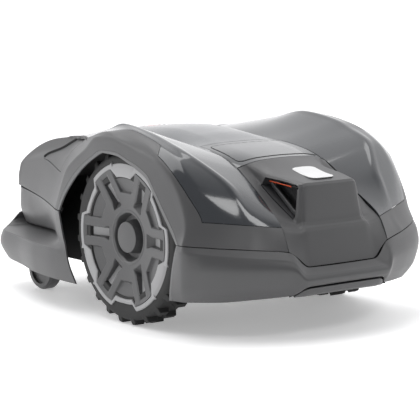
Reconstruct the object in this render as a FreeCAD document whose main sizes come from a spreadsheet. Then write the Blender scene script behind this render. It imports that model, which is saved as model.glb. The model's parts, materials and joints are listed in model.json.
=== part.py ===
"""Robotic lawn mower, in millimetres: +X forward, +Y left, +Z up, standing on z = 0.

Every section table is measured from the drive axle; the sheet's axle_x places it in the frame.
The left half is drawn, and the right half is its mirror image about y = 0.
"""
import FreeCAD, Part
import math
import os
import Sketcher
from FreeCAD import Placement, Rotation, Vector

doc = FreeCAD.newDocument("mower")
sheet = doc.addObject("Spreadsheet::Sheet", "sizes")

SIZES = [
    ("axle_x", -76.5, "drive axle, from the middle of the length"),
    ("axle_z", 127, "drive axle above the ground, the radius over the lugs"),
    ("skin", 2.6, "wall of the moulded shells"),
    ("seam", 0.8, "gap between neighbouring shells"),
    ("tyre_radius", 120, "tread radius between the lugs"),
    ("lug_height", 7, "lug above the tread"),
    ("lug_width", 21, "lug along the axle"),
    ("lug_length", 9, "lug round the tread"),
    ("lug_count", 24, "lugs in one row"),
    ("tyre_inner", 158, "inner side of the tyre, from the middle plane"),
    ("tyre_width", 49, "tyre along the axle"),
    ("rim_radius", 92, "seat of the tyre"),
    ("rim_wall", 4, "rim thickness"),
    ("web_depth", 12, "wheel web thickness"),
    ("hub_radius", 20, "wheel hub"),
    ("shaft_radius", 6, "drive shaft"),
    ("run_gap", 0.05, "radial clearance of a running fit"),
    ("ring_radius", 107.5, "lobed ring between its lobes, outer"),
    ("ring_bore", 88.5, "lobed ring, inner"),
    ("lobe_rise", 5.5, "lobe above the ring"),
    ("notch_fall", 11.5, "notch below the ring"),
    ("ring_depth", 2, "lobed ring thickness"),
    ("cover_radius", 87.5, "slotted cover"),
    ("cover_wall", 3, "slotted cover thickness"),
    ("cover_dish", 8.5, "rim of the cover outside its middle"),
    ("slot_length", 32, "cover slot, outward"),
    ("slot_width", 13, "cover slot, across"),
    ("slot_reach", 66, "middle of a cover slot from the axle"),
    ("cap_radius", 22, "hub cap"),
    ("recess_radius", 35, "hub recess in the cover"),
    ("tub_floor", 64, "underside of the chassis"),
    ("tub_split", 150, "joint of tub and lid"),
    ("tub_rear", 172, "tub behind the axle"),
    ("tub_step", 200, "tub ahead of the axle at full width"),
    ("tub_front", 296, "tub ahead of the axle, narrow part"),
    ("tub_half", 140, "half width of the tub between the wheels"),
    ("nose_half", 66, "half width of the tub at the front"),
    ("wall", 3, "chassis wall"),
    ("lid_top", 200, "top of the chassis lid"),
    ("lid_half", 118, "half width of the lid dome"),
    ("lid_rear", 118, "lid dome behind the axle"),
    ("lid_front", 222, "lid dome ahead of the axle"),
    ("lid_step", 150, "lid dome ahead of the axle where it narrows"),
    ("seal_depth", 1.5, "lid seal"),
    ("cut_x", 130, "cutter axis ahead of the drive axle"),
    ("gear_radius", 24, "drive gearmotor"),
    ("screw_radius", 2.5, "chassis screw"),
    ("screw_head", 5, "radius of a chassis screw head"),
    ("head_depth", 2.6, "chassis screw head"),
    ("boss_height", 9, "screw boss above the underside"),
    ("motor_radius", 36, "cutting motor"),
    ("motor_foot", 61, "underside of the cutting motor"),
    ("motor_height", 80, "cutting motor"),
    ("disc_radius", 100, "cutting disc"),
    ("disc_z", 42, "underside of the cutting disc"),
    ("disc_depth", 3, "cutting disc thickness"),
    ("pivot_reach", 88, "blade pivots from the cutter axis"),
    ("pivot_radius", 3, "blade screw"),
    ("blade_length", 38, "blade"),
    ("blade_width", 19, "blade"),
    ("blade_depth", 0.8, "blade thickness"),
    ("skid_radius", 62, "skid plate"),
    ("hub_stub", 8, "radius of the disc hub that carries the skid plate"),
    ("guide_radius", 4, "height guide rod"),
    ("guide_reach", 58, "height guide rods from the middle plane"),
    ("caster_x", 322, "caster stem ahead of the drive axle"),
    ("caster_y", 139, "caster stem from the middle plane"),
    ("caster_trail", 10, "caster wheel behind its stem"),
    ("caster_radius", 34, "caster wheel"),
    ("caster_width", 22, "caster wheel"),
    ("stem_radius", 8, "caster stem"),
    ("bush_radius", 11, "caster bush, outer"),
    ("arm_z", 80, "underside of the caster arm"),
    ("arm_depth", 8, "caster arm"),
    ("pin_radius", 4, "caster axle"),
    ("battery_length", 112, "battery"),
    ("battery_width", 88, "battery"),
    ("battery_height", 52, "battery"),
    ("post_radius", 9, "rubber shell post"),
    ("post_gap", 0.3, "shell frame above the posts"),
    ("frame_z", 214, "underside of the shell frame"),
    ("frame_depth", 3, "shell frame"),
    ("panel_z", 228, "underside of the control panel"),
    ("panel_depth", 8, "control panel"),
    ("key_radius", 9, "panel key"),
    ("stop_radius", 26, "stop button"),
    ("stop_x", 190, "stop button ahead of the drive axle"),
    ("stop_z", 252, "underside of the stop button's crown"),
    ("crown_depth", 8, "stop button's crown"),
    ("stop_stem", 15.5, "stem below the stop button's crown"),
]

for line, (alias, value, note) in enumerate(SIZES, start=1):
    sheet.set(f"A{line}", alias)
    sheet.set(f"B{line}", str(value))
    sheet.set(f"C{line}", note)
    sheet.setAlias(f"B{line}", alias)
doc.recompute()


def size(alias):
    """A driving dimension, as the sheet holds it."""
    return float(sheet.get(alias))


# ---------------------------------------------------------------- sculpted shells
# Sections of the half body, from the nose seam round the wheel arch to the bumper seam.
# Each runs from the arch lip over the arch crease, two seam lines and the shoulder crest
# to the foot of the shoulder beside the deck.
SECTIONS = [
    [(156, 216, 150), (171, 212, 150), (221, 190, 151), (290, 163, 153), (399, 131, 157.5), (406, 70, 158.5)],
    [(143, 216, 171), (159, 212, 176), (216, 182, 174), (298, 153, 180), (399, 131, 171), (403, 70, 174)],
    [(121, 216, 195), (141, 211, 212), (213, 173, 199), (297, 148, 210), (395, 130, 190), (391, 70, 197)],
    [(98, 216, 215), (119, 211, 230), (190, 172, 228), (247, 145, 231), (350, 133, 219), (352, 70, 219)],
    [(66, 216, 235), (92, 210, 247), (160, 168, 249), (191, 148, 251), (285, 138, 241), (285, 70, 240)],
    [(38, 216, 246), (64, 210, 267), (98, 196, 264), (124, 182, 259), (200, 140, 254), (200, 71, 251)],
    [(10, 216, 245), (28, 211, 271), (42, 203, 276), (57, 190, 275), (105, 160, 272), (110, 73, 255)],
    [(-20, 216, 237), (-8, 211, 264), (0, 203, 272), (10, 188, 280), (45, 171, 285.5), (45, 75, 252)],
    [(-46, 216, 228), (-44, 211, 254), (-42, 203, 265), (-34, 190, 273.5), (-22, 174, 277.5), (-8, 76, 250)],
    [(-64, 216, 219), (-76, 210, 246), (-79, 205, 252), (-67, 190, 264), (-60, 172, 267), (-58, 79, 243)],
    [(-82, 216, 198), (-102, 210, 230), (-108, 204.5, 234), (-104, 189, 248), (-100, 169, 254), (-104, 83, 228)],
    [(-102, 216, 173), (-130, 208, 197), (-139, 199, 202), (-148, 180, 207), (-163, 136, 206), (-160, 86, 193)],
    [(-122, 216.5, 150), (-147, 210, 161), (-162, 191, 166), (-176, 168, 164), (-195, 131, 160), (-214, 92, 156)],
    [(-135, 217, 134), (-151, 219, 135), (-168, 204, 134), (-186, 180, 132), (-208, 143, 129), (-230, 93, 124)],
]
# Rows and columns of that net where the shells part.
NOSE_SEAM, PANEL_LOW, PANEL_HIGH, SHOULDER_FRONT, TAB, GLOSS_FOOT, BUMPER_SEAM = 0, 2, 4, 5, 9, 12, 13
LIP, LOW_SEAM, HIGH_SEAM, FOOT = 0, 4, 5, 9

# The middle strip: its highest points, row by row from the nose seam to the rear cover.
STRIP_MIDDLE = [
    (409, 158), (406, 174), (394, 199), (352, 224), (285, 246), (200, 262), (110, 269), (45, 264),
    (-10, 254), (-61, 247), (-111, 239),
]
HATCH_FRONT, HATCH_REAR, DECK_REAR = 4, 8, 10

# Rear cover: from the flank inwards over the hand recess and the handle block to the middle. Each line runs
# from the deck over the block's top, down its face to a ledge and on to the bumper.
COVER = [
    [(-104.6, 82.5, 228), (-134, 84, 210), (-162, 85.5, 192), (-192, 88, 170), (-207, 90.5, 160),
     (-215, 91.5, 153), (-230, 92.5, 124)],
    [(-106.9, 72, 231.5), (-136, 66, 206), (-160, 65.5, 190), (-207, 63.5, 162), (-213, 64, 156),
     (-221, 66, 150), (-233, 78, 114)],
    [(-107.5, 69, 232.7), (-139, 60, 216.5), (-167, 57.5, 214.5), (-204.5, 52.5, 210), (-214.5, 56, 158),
     (-222.5, 60, 151), (-235.5, 65, 103)],
    [(-108, 66, 233.5), (-138, 57, 221), (-167, 54, 218.5), (-208, 48, 211.5), (-217, 51, 158),
     (-223.5, 54, 151), (-236, 59, 101)],
    [(-110.7, 40, 237.8), (-138, 42, 227.5), (-168, 42, 220.5), (-209, 42, 213), (-217.5, 42, 157.5),
     (-224, 44, 151), (-236.5, 45, 101)],
    [(-111.5, 0, 239), (-138, 0, 231), (-170, 0, 222), (-210, 0, 213), (-218, 0, 157), (-225, 0, 151),
     (-237, 0, 101)],
]
HAND_OPENING = ((1, 2), (1, 3))

# Rear bumper: from the wheel arch round the corner to the middle, top edge to bottom edge.
BUMPER = [
    [(-135.5, 216, 133.4), (-133, 217, 124), (-127, 217, 102), (-121, 216, 76), (-114, 212, 53)],
    [(-151, 218, 134.4), (-152, 221, 126), (-152, 221, 104), (-148, 218, 78), (-137, 207, 53)],
    [(-168, 203, 133.4), (-172, 208, 124), (-175, 209, 104), (-172, 204, 78), (-160, 192, 54)],
    [(-186, 179, 131.4), (-192, 184, 121), (-196, 185, 102), (-194, 180, 78), (-182, 170, 55)],
    [(-208, 142, 128.4), (-215, 145, 117), (-219, 146, 100), (-217, 142, 80), (-206, 134, 58)],
    [(-230, 93, 123.4), (-238, 95, 111), (-242, 96, 98), (-240, 92, 78), (-230, 88, 62)],
    [(-237, 60, 100.4), (-250, 72, 91), (-253, 74, 85), (-252, 72, 80), (-246, 66, 75)],
    [(-238, 0, 100), (-254, 0, 91), (-256, 0, 85), (-255, 0, 81), (-249, 0, 76)],
]
INSERT = [
    [(-230.2, 83.8, 59.6), (-228, 80.5, 58.6), (-224, 77, 58)],
    [(-244.6, 64.6, 72.4), (-242.4, 63.6, 65), (-234, 62.6, 59.4)],
    [(-248, 0, 73.4), (-245.4, 0, 66), (-236, 0, 60.4)],
]

# Side skirt and caster pod: from the wheel arch forward to the nose. Each line runs from the nose seam down
# the flank to its lower edge, into the notch, over the top of the pod and down to the bottom edge.
SKIRT = [
    [(156, 216, 149), (147, 217, 124), (141, 218, 110), (138, 218, 104), (135, 218.5, 98), (132, 219, 90),
     (124, 220, 72), (107, 219, 45)],
    [(172, 211, 149), (166, 212, 122), (162, 212, 110), (160, 212, 104), (163, 215, 97), (170, 220, 91),
     (168, 221, 72), (150, 219, 45)],
    [(221, 189.5, 150), (217, 187, 124), (214, 184, 110), (213, 180, 103), (216, 190, 98), (225, 214, 91),
     (226, 216, 72), (222, 212, 45)],
    [(290, 162.5, 152), (289, 158, 126), (285, 152, 102), (283, 143, 99.5), (287, 148, 97.5), (300, 195, 91),
     (302, 197, 72), (297, 192, 46)],
    [(350, 145, 154.5), (349, 147, 128), (343, 141, 100), (338, 132, 98), (343, 138, 96.5), (366, 181, 91),
     (370, 183, 72), (362, 174, 46)],
    [(388, 134, 156), (390, 134, 128), (390, 123, 97), (384, 113, 96), (390, 124, 95), (393, 163, 91),
     (396, 168, 71), (384, 160, 43)],
    [(402, 116, 157), (403, 118, 130), (403, 112, 112), (401, 108, 111), (405, 124, 111), (404, 147, 92),
     (407, 146, 71), (394, 141, 48)],
    [(405, 92, 157.5), (403, 90, 130), (395, 88, 112), (389, 86, 110), (391, 90, 107), (402, 108, 93),
     (404, 107, 72), (394, 105, 50)],
    [(406, 71, 157.5), (399, 71, 130), (363, 71, 112), (356, 71, 110), (356, 72, 105), (368, 76, 91),
     (368, 74, 72), (362, 74, 50)],
]
APRON = [
    [(406, 70, 157.5), (399, 70, 130), (356, 70, 110), (350, 70, 91), (348, 70, 72), (346, 70, 52)],
    [(409, 0, 157.5), (402, 0, 130), (360, 0, 110), (352, 0, 91), (350, 0, 72), (348, 0, 52)],
]


def net(rows):
    return [[Vector(*point) for point in row] for row in rows]


def between(a, b, share):
    return a + (b - a) * share


def full_width(half_rows):
    """Rows from the left edge to the middle, then mirrored to the right edge."""
    left = net(half_rows)
    return left + [[Vector(p.x, -p.y, p.z) for p in row] for row in reversed(left[:-1])]


def body_net():
    """The half body with a band round the arch lip and a rounded crest with a hollow behind it."""
    band, crest_width = 6.0, 15.0
    rows = []
    for lip, crease, low, high, crest, foot in net(SECTIONS):
        outward = (crease - lip).normalize()
        before = crest + (high - crest).normalize() * min(crest_width, (high - crest).Length * 0.45)
        behind = crest + (foot - crest).normalize() * crest_width
        hollow = between(crest, foot, 0.55) + Vector(0, 0, -0.05 * abs(crest.z - foot.z))
        rows.append([lip, lip + outward * band + Vector(0, 0.4, 0), between(lip, crease, 0.7),
                     crease, low, high, before, crest, behind, hollow, foot])
    return rows


def strip_net():
    """The middle strip, crowned between the feet of the two shoulders."""
    rows = []
    for section, (x, z) in zip(SECTIONS, STRIP_MIDDLE):
        foot = Vector(*section[-1])
        row = []
        for share in (1.0, 0.88, 0.5, 0.0, -0.5, -0.88, -1.0):
            rise = 1.0 - abs(share) ** 3
            row.append(Vector(foot.x + (x - foot.x) * rise, foot.y * share, foot.z + (z - foot.z) * rise))
        rows.append(row)
    return rows


def slope(before, after):
    """Harmonic mean of two steps where they agree in sign, else flat, so nothing overshoots."""
    return [2 * a * b / (a + b) if a * b > 0 else 0.0 for a, b in zip(before, after)]


def hermite(line):
    """Poles of the smooth curve through a line of points, two for each point."""
    steps = [b - a for a, b in zip(line, line[1:])]
    slopes = [Vector(*slope(a, b)) for a, b in zip(steps, steps[1:])]
    first = (steps[0] * 3 - slopes[0]) / 2 if slopes else steps[0]
    last = (steps[-1] * 3 - slopes[-1]) / 2 if slopes else steps[-1]
    slopes = [first] + slopes + [last]
    poles = [line[0]]
    for point, rate in zip(line, slopes):
        poles += [point - rate / 3, point + rate / 3]
    del poles[1]
    poles[-1] = line[-1]
    poles.insert(-1, line[-1] - slopes[-1] / 3)
    del poles[-3]
    return poles


def transpose(rows):
    return [list(column) for column in zip(*rows)]


def surface_poles(points):
    along = transpose([hermite(column) for column in transpose(points)])
    return [hermite(row) for row in along]


def cut_poles(poles, start, end):
    """The stretch of poles from one node line to another, with the end lines themselves."""
    def line_at(k):
        if k == 0:
            return poles[0]
        if 2 * k + 1 == len(poles) - 1:
            return poles[-1]
        return [(a + b) / 2 for a, b in zip(poles[2 * k], poles[2 * k + 1])]
    inner = [poles[2 * start + 1]]
    for k in range(start + 1, end):
        inner += [poles[2 * k], poles[2 * k + 1]]
    return [line_at(start)] + inner + [poles[2 * end]] + [line_at(end)]


def patch_poles(poles, rows, columns):
    part = cut_poles(poles, *rows)
    return transpose(cut_poles(transpose(part), *columns))


def spline_surface(poles):
    def knots(count):
        spans = (count - 2) // 2
        return list(range(spans + 1)), [4] + [2] * (spans - 1) + [4]
    u_knots, u_mults = knots(len(poles))
    v_knots, v_mults = knots(len(poles[0]))
    surface = Part.BSplineSurface()
    surface.buildFromPolesMultsKnots(poles, u_mults, v_mults, u_knots, v_knots, False, False, 3, 3)
    return surface


def wall_face(outer, inner):
    spans = (len(outer) - 2) // 2
    surface = Part.BSplineSurface()
    surface.buildFromPolesMultsKnots([outer, inner], [2, 2], [4] + [2] * (spans - 1) + [4],
                                     [0, 1], list(range(spans + 1)), False, False, 1, 3)
    return surface.toShape()


def inward(points, depth):
    """The net moved along its normals, away from the outer side."""
    def step(lines, k):
        return [b - a for a, b in zip(lines[max(k - 1, 0)], lines[min(k + 1, len(lines) - 1)])]
    along = [step(points, i) for i in range(len(points))]
    across = transpose([step(transpose(points), j) for j in range(len(points[0]))])
    moved = []
    for row, row_along, row_across in zip(points, along, across):
        moved.append([p - a.cross(b).normalize() * depth for p, a, b in zip(row, row_along, row_across)])
    return moved


def panel(points, rows, columns, missing=(), depth=None, outward=1):
    """A shell of even thickness over some of the cells that the break lines part a net into.

    Its edges draw back from the neighbouring cells by half a seam.
    """
    depth = size("skin") if depth is None else depth
    cells = [(i, j) for i in range(len(rows) - 1) for j in range(len(columns) - 1) if (i, j) not in missing]
    moved = [[Vector(p) for p in row] for row in points]
    count_rows, count_columns = len(points), len(points[0])

    def draw_back(nodes, step):
        for i, j in nodes:
            towards = points[min(max(i + step[0], 0), count_rows - 1)][min(max(j + step[1], 0), count_columns - 1)]
            gap = towards - points[i][j]
            if gap.Length > 0:
                moved[i][j] += gap.normalize() * size("seam") / 2

    for i, j in cells:
        span_i = range(rows[i], rows[i + 1] + 1)
        span_j = range(columns[j], columns[j + 1] + 1)
        if (i - 1, j) not in cells:
            draw_back([(rows[i], k) for k in span_j], (1, 0))
        if (i + 1, j) not in cells:
            draw_back([(rows[i + 1], k) for k in span_j], (-1, 0))
        if (i, j - 1) not in cells:
            draw_back([(k, columns[j]) for k in span_i], (0, 1))
        if (i, j + 1) not in cells:
            draw_back([(k, columns[j + 1]) for k in span_i], (0, -1))

    outer = surface_poles(moved)
    inner = surface_poles(inward(moved, depth * outward))
    faces = []
    for i, j in cells:
        span = (rows[i], rows[i + 1]), (columns[j], columns[j + 1])
        top, bottom = patch_poles(outer, *span), patch_poles(inner, *span)
        faces += [spline_surface(top).toShape(), spline_surface(bottom).toShape()]
        if (i - 1, j) not in cells:
            faces.append(wall_face(top[0], bottom[0]))
        if (i + 1, j) not in cells:
            faces.append(wall_face(top[-1], bottom[-1]))
        if (i, j - 1) not in cells:
            faces.append(wall_face([row[0] for row in top], [row[0] for row in bottom]))
        if (i, j + 1) not in cells:
            faces.append(wall_face([row[-1] for row in top], [row[-1] for row in bottom]))
    shell = Part.makeShell(faces)
    shell.sewShape()
    solid = Part.makeSolid(shell)
    if solid.Volume < 0:
        solid.reverse()
    return solid


# ---------------------------------------------------------------- document helpers
nodes = []


def keep(label, item):
    """Names a sub-part and lists it for export."""
    item.Label = label
    nodes.append(item)
    return item


def feature(label, shape, origin=None):
    """A sub-part whose shape is set directly, placed from the drive axle."""
    item = doc.addObject("Part::Feature", label)
    item.Shape = shape
    item.Placement = Placement(origin or Vector(size("axle_x"), 0, 0), Rotation())
    return keep(label, item)


def both_sides(label, shape):
    """The left sub-part and its mirror image."""
    feature(f"{label}_left", shape)
    feature(f"{label}_right", shape.mirror(Vector(0, 0, 0), Vector(0, 1, 0)))


def bind(item, **expressions):
    for name, expression in expressions.items():
        item.setExpression(name.replace("_", "."), str(expression))
    return item


def place(item, x=0, y=0, z=0):
    """Binds a position to the sheet; x is measured from the drive axle."""
    item.setExpression("Placement.Base.x", f"sizes.axle_x + {x}")
    item.setExpression("Placement.Base.y", str(y))
    item.setExpression("Placement.Base.z", str(z))
    return item


def cylinder(name, radius, height, x=0, y=0, z=0, turn=None):
    item = doc.addObject("Part::Cylinder", name)
    if turn:
        item.Placement = Placement(Vector(), turn)
    bind(item, Radius=radius, Height=height)
    return place(item, x, y, z)


def box(name, length, width, height, x=0, y=0, z=0):
    """A box whose x, y and z are those of its lowest corner."""
    item = doc.addObject("Part::Box", name)
    bind(item, Length=length, Width=width, Height=height)
    return place(item, x, y, z)


def joined(kind, name, items):
    item = doc.addObject(kind, name)
    item.Shapes = items
    return item


def fuse(name, *items):
    return joined("Part::MultiFuse", name, list(items))


def group(name, *items):
    item = doc.addObject("Part::Compound", name)
    item.Links = list(items)
    return item


def minus(name, base, *tools):
    item = doc.addObject("Part::Cut", name)
    item.Base = base
    item.Tool = tools[0] if len(tools) == 1 else fuse(f"{name}_tool", *tools)
    return item


OUTWARD = {1: Rotation(Vector(1, 0, 0), -90), -1: Rotation(Vector(1, 0, 0), 90)}
SIDES = ((1, "left"), (-1, "right"))


def new_body(label, x="0", y="0", z="0", turn=None):
    body = doc.addObject("PartDesign::Body", label)
    if turn:
        body.Placement = Placement(Vector(), turn)
    place(body, x, y, z)
    return keep(label, body)


def plane_sketch(body, role, name):
    sketch = body.newObject("Sketcher::SketchObject", name)
    origin = next(part for part in body.Origin.OriginFeatures if part.Role == role)
    sketch.AttachmentSupport = [(origin, "")]
    sketch.MapMode = "FlatFace"
    return sketch


def bound_circle(sketch, expression, x=0.0, y=0.0):
    """A circle whose radius follows the sheet."""
    index = sketch.addGeometry(Part.Circle(Vector(x, y, 0), Vector(0, 0, 1), 1.0), False)
    sketch.addConstraint(Sketcher.Constraint("DistanceX", -1, 1, index, 3, x))
    sketch.addConstraint(Sketcher.Constraint("DistanceY", -1, 1, index, 3, y))
    radius = sketch.addConstraint(Sketcher.Constraint("Radius", index, 1.0))
    sketch.setExpression(f"Constraints[{radius}]", expression)


def outline(sketch, points):
    """A closed outline through corner points, its corners tied to each other."""
    corners = [Vector(x, y, 0) for x, y in points]
    first = sketch.GeometryCount
    for a, b in zip(corners, corners[1:] + corners[:1]):
        sketch.addGeometry(Part.LineSegment(a, b), False)
    count = len(corners)
    for k in range(count):
        sketch.addConstraint(Sketcher.Constraint("Coincident", first + k, 2, first + (k + 1) % count, 1))


def pad(body, sketch, length, reverse=False):
    item = body.newObject("PartDesign::Pad", f"{sketch.Name}_pad")
    item.Profile = sketch
    item.setExpression("Length", str(length))
    item.Reversed = reverse
    return item


def pocket(body, sketch, length=None, reverse=False):
    """A cut; with no length it goes through everything, both ways."""
    item = body.newObject("PartDesign::Pocket", f"{sketch.Name}_pocket")
    item.Profile = sketch
    item.Reversed = reverse
    if length is None:
        item.Type = "ThroughAll"
        item.Midplane = True
    else:
        item.setExpression("Length", str(length))
    return item


def revolve(body, sketch, role="V_Axis"):
    item = body.newObject("PartDesign::Revolution", f"{sketch.Name}_turned")
    item.Profile = sketch
    item.ReferenceAxis = (sketch, [role])
    item.Angle = 360
    return item


def polar(body, features, count, role="Z_Axis"):
    item = body.newObject("PartDesign::PolarPattern", f"{features[0].Name}_round")
    item.Originals = features
    axis = next(part for part in body.Origin.OriginFeatures if part.Role == role)
    item.Axis = (axis, [""])
    item.Angle = 360
    item.setExpression("Occurrences", str(count))
    body.Tip = item
    return item


# ---------------------------------------------------------------- shells
def make_shells():
    body = body_net()
    rows = [NOSE_SEAM, PANEL_LOW, PANEL_HIGH, SHOULDER_FRONT, TAB, GLOSS_FOOT, BUMPER_SEAM]
    columns = [LIP, LOW_SEAM, HIGH_SEAM, FOOT + 1]
    glossy = {(3, 2), (4, 2), (4, 1)}
    inset = {(1, 1)}
    every = {(i, j) for i in range(6) for j in range(3)}
    both_sides("side_shell", panel(body, rows, columns, missing=glossy | inset))
    both_sides("shoulder_shell", panel(body, rows, columns, missing=every - glossy))
    both_sides("shoulder_inset", panel(body, rows, columns, missing=every - inset))

    strip = strip_net()
    across = [0, len(strip[0]) - 1]
    feature("nose_cap", panel(strip, [0, HATCH_FRONT], across))
    feature("rear_deck", panel(strip, [HATCH_REAR, DECK_REAR], across))
    stop_hole = Part.makeCylinder(size("stop_radius") + 0.5, 60, Vector(size("stop_x"), 0, 230))
    feature("hatch", panel(strip, [HATCH_FRONT, HATCH_REAR], across).cut(stop_hole))

    deck = spline_surface(patch_poles(surface_poles(strip), (HATCH_REAR, DECK_REAR), across))
    plate = [[deck.value(u, 1.2 + 0.6 * k) for k in range(7)] for u in (0.35, 0.6, 0.9, 1.2, 1.45)]
    feature("name_plate", panel(inward(plate, -1.3), [0, 4], [0, 6], depth=1.0))

    cover = full_width(COVER)
    (low, high), (start, end) = HAND_OPENING
    last = len(cover) - 1
    lines = [0, low, high, last - high, last - low, last]
    foot = len(cover[0]) - 1
    feature("rear_cover", panel(cover, lines, [0, start, end, foot], missing={(1, 1), (3, 1)}, outward=-1))
    feature("rear_bumper", panel(full_width(BUMPER), [0, 14], [0, 4], outward=-1))
    feature("bumper_insert", panel(full_width(INSERT), [0, 4], [0, 2], outward=-1))
    both_sides("side_skirt", panel(net(SKIRT), [0, 8], [0, 7]))
    feature("nose_apron", panel(full_width(APRON), [0, 2], [0, 5]))


# ---------------------------------------------------------------- handle and small shell pieces
def make_handle():
    """Dark pockets behind the two hand openings, their ribs, strips and the latch."""
    mouth, pocket_depth, pocket_wall = 50, 24, 2
    sides = []
    strips = []
    for side, name in SIDES:
        corners = [(-139, 213), (-194, 206), (-203, 165), (-197, 165), (-140, 203)]
        prism = Part.Face(Part.makePolygon([Vector(x, side * mouth, z) for x, z in corners + corners[:1]]))
        outer = prism.extrude(Vector(0, -side * pocket_depth, 0))
        grown = prism.makeOffset2D(pocket_wall).extrude(Vector(0, -side * (pocket_depth + pocket_wall), 0))
        bottom = Vector(-200, side * 47, 170)
        rib = Part.makeCylinder(2.2, 62, bottom, Vector(-142, side * 45, 203) - bottom)
        sides.append(grown.cut(outer).fuse(rib.common(outer)))
        strips.append(Part.makeBox(34, 5, 2, Vector(-180, side * 46.5 - 2.5, 205)))
    feature("grip_liners", Part.makeCompound(sides))
    feature("grip_strips", Part.makeCompound(strips))


def make_controls():
    arms = box("frame_rear_bar", 34, 210, "sizes.frame_depth", -77, -105, "sizes.frame_z")
    front = box("frame_front_bar", 34, 210, "sizes.frame_depth", 150, -105, "sizes.frame_z")
    spine = box("frame_spine", 262, 60, "sizes.frame_depth", -78, -30, "sizes.frame_z")
    legs = [cylinder(f"frame_leg_{x}_{y}", 7, height, x, y, "sizes.frame_z")
            for x, height in ((-60, 23), (167, 25)) for y in (-88, 88)]
    studs = [cylinder(f"panel_stud_{x}_{y}", 5, "sizes.panel_z - sizes.frame_z - 0.5", x, y, "sizes.frame_z")
             for x in (60, 170) for y in (-24, 24)]
    keep("shell_frame", fuse("shell_frame_solid", arms, front, spine, *legs, *studs))

    base = box("panel_plate", 168, 116, "sizes.panel_depth", 50, -58, "sizes.panel_z")
    wells = [cylinder(f"key_well_{x}", "sizes.key_radius + 0.4", 20, x, 0, "sizes.panel_z + 3")
             for x in (75, 103)]
    stop_well = cylinder("stop_well", "sizes.stop_radius + 1", 20, "sizes.stop_x", 0, "sizes.panel_z + 3")
    screen_well = box("screen_well", 34, 70, 20, 124, -35, "sizes.panel_z + 5")
    keep("control_panel", minus("panel_solid", base, *wells, stop_well, screen_well))
    keep("display", box("display", 33, 69, 2.6, 124.5, -34.5, "sizes.panel_z + 5"))
    for label, x in (("power_key", 75), ("select_key", 103)):
        keep(label, cylinder(label, "sizes.key_radius", 6.5, x, 0, "sizes.panel_z + 4.8"))
    crown = cylinder("stop_crown", "sizes.stop_radius", "sizes.crown_depth", "sizes.stop_x", 0, "sizes.stop_z")
    stem = cylinder("stop_stem", 8, "sizes.stop_stem + 0.5", "sizes.stop_x", 0, "sizes.stop_z - sizes.stop_stem")
    keep("stop_button", fuse("stop_solid", crown, stem))
    brackets = [box(f"hatch_arm_{y}", 8, 6, 18, 268, y, 226) for y in (-44, 38)]
    keep("hatch_arms", group("hatch_arm_pair", *brackets))
    contacts = [box(f"contact_{y}", 1.2, 16, 22, 353.6, y, 66) for y in (-44, 28)]
    keep("charge_contacts", group("contact_pair", *contacts))


# ---------------------------------------------------------------- chassis
def tub_outline(inset=0.0):
    rear, step, front = -size("tub_rear") + inset, size("tub_step") - inset, size("tub_front") - inset
    wide, narrow = size("tub_half") - inset, size("nose_half") - inset
    corner = 34
    return [(rear, -wide + corner), (rear + corner, -wide), (step, -wide), (step + corner, -narrow),
            (front - corner / 2, -narrow), (front, -narrow + corner / 2), (front, narrow - corner / 2),
            (front - corner / 2, narrow), (step + corner, narrow), (step, wide), (rear + corner, wide),
            (rear, wide - corner)]


def make_tub():
    body = new_body("chassis_tub", z="sizes.tub_floor")
    block = plane_sketch(body, "XY_Plane", "tub_plan")
    outline(block, tub_outline())
    pad(body, block, "sizes.tub_split - sizes.tub_floor")
    hollow = plane_sketch(body, "XY_Plane", "tub_hollow")
    outline(hollow, tub_outline(size("wall")))
    hollow.AttachmentOffset = Placement(Vector(0, 0, size("wall")), Rotation())
    pocket(body, hollow, 200, reverse=True)

    arms = plane_sketch(body, "XY_Plane", "caster_arm_plan")
    reach, half, front = size("caster_y") + 16, 16, size("caster_x")
    for side in (1, -1):
        outline(arms, [(240, side * 64), (front - 34, side * 64), (front - half, side * (reach - 42)),
                       (front + half, side * (reach - 26)), (front + half, side * (reach - 6)),
                       (front + 8, side * reach), (front - 8, side * reach), (front - half, side * (reach - 6)),
                       (240, side * 92)])
    arms.AttachmentOffset = Placement(Vector(0, 0, size("arm_z") - size("tub_floor")), Rotation())
    pad(body, arms, "sizes.arm_depth")
    for side, name in SIDES:
        hole = plane_sketch(body, "XY_Plane", f"bush_hole_{name}")
        bound_circle(hole, "sizes.bush_radius", size("caster_x"), side * size("caster_y"))
        pocket(body, hole)

    well = plane_sketch(body, "XY_Plane", "motor_well")
    bound_circle(well, "sizes.motor_radius + 6", size("cut_x"), 0)
    pocket(body, well)
    axle = plane_sketch(body, "XZ_Plane", "axle_hole")
    bound_circle(axle, "sizes.shaft_radius + 8", 0, size("axle_z") - size("tub_floor"))
    pocket(body, axle)
    bosses = plane_sketch(body, "XY_Plane", "screw_bosses")
    for x, y in SCREWS:
        bound_circle(bosses, "sizes.screw_head + 3", x, y)
    pad(body, bosses, "sizes.boss_height")
    seats = plane_sketch(body, "XY_Plane", "screw_seats")
    for x, y in SCREWS:
        bound_circle(seats, "sizes.screw_head + 0.3", x, y)
    pocket(body, seats, "sizes.head_depth + 0.4", reverse=True)
    holes = plane_sketch(body, "XY_Plane", "screw_holes")
    for x, y in SCREWS:
        bound_circle(holes, "sizes.screw_radius + 0.1", x, y)
    pocket(body, holes)


SCREWS = [(-150, -95), (-150, 95), (-60, -128), (-60, 128), (270, -48), (270, 48)]


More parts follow.
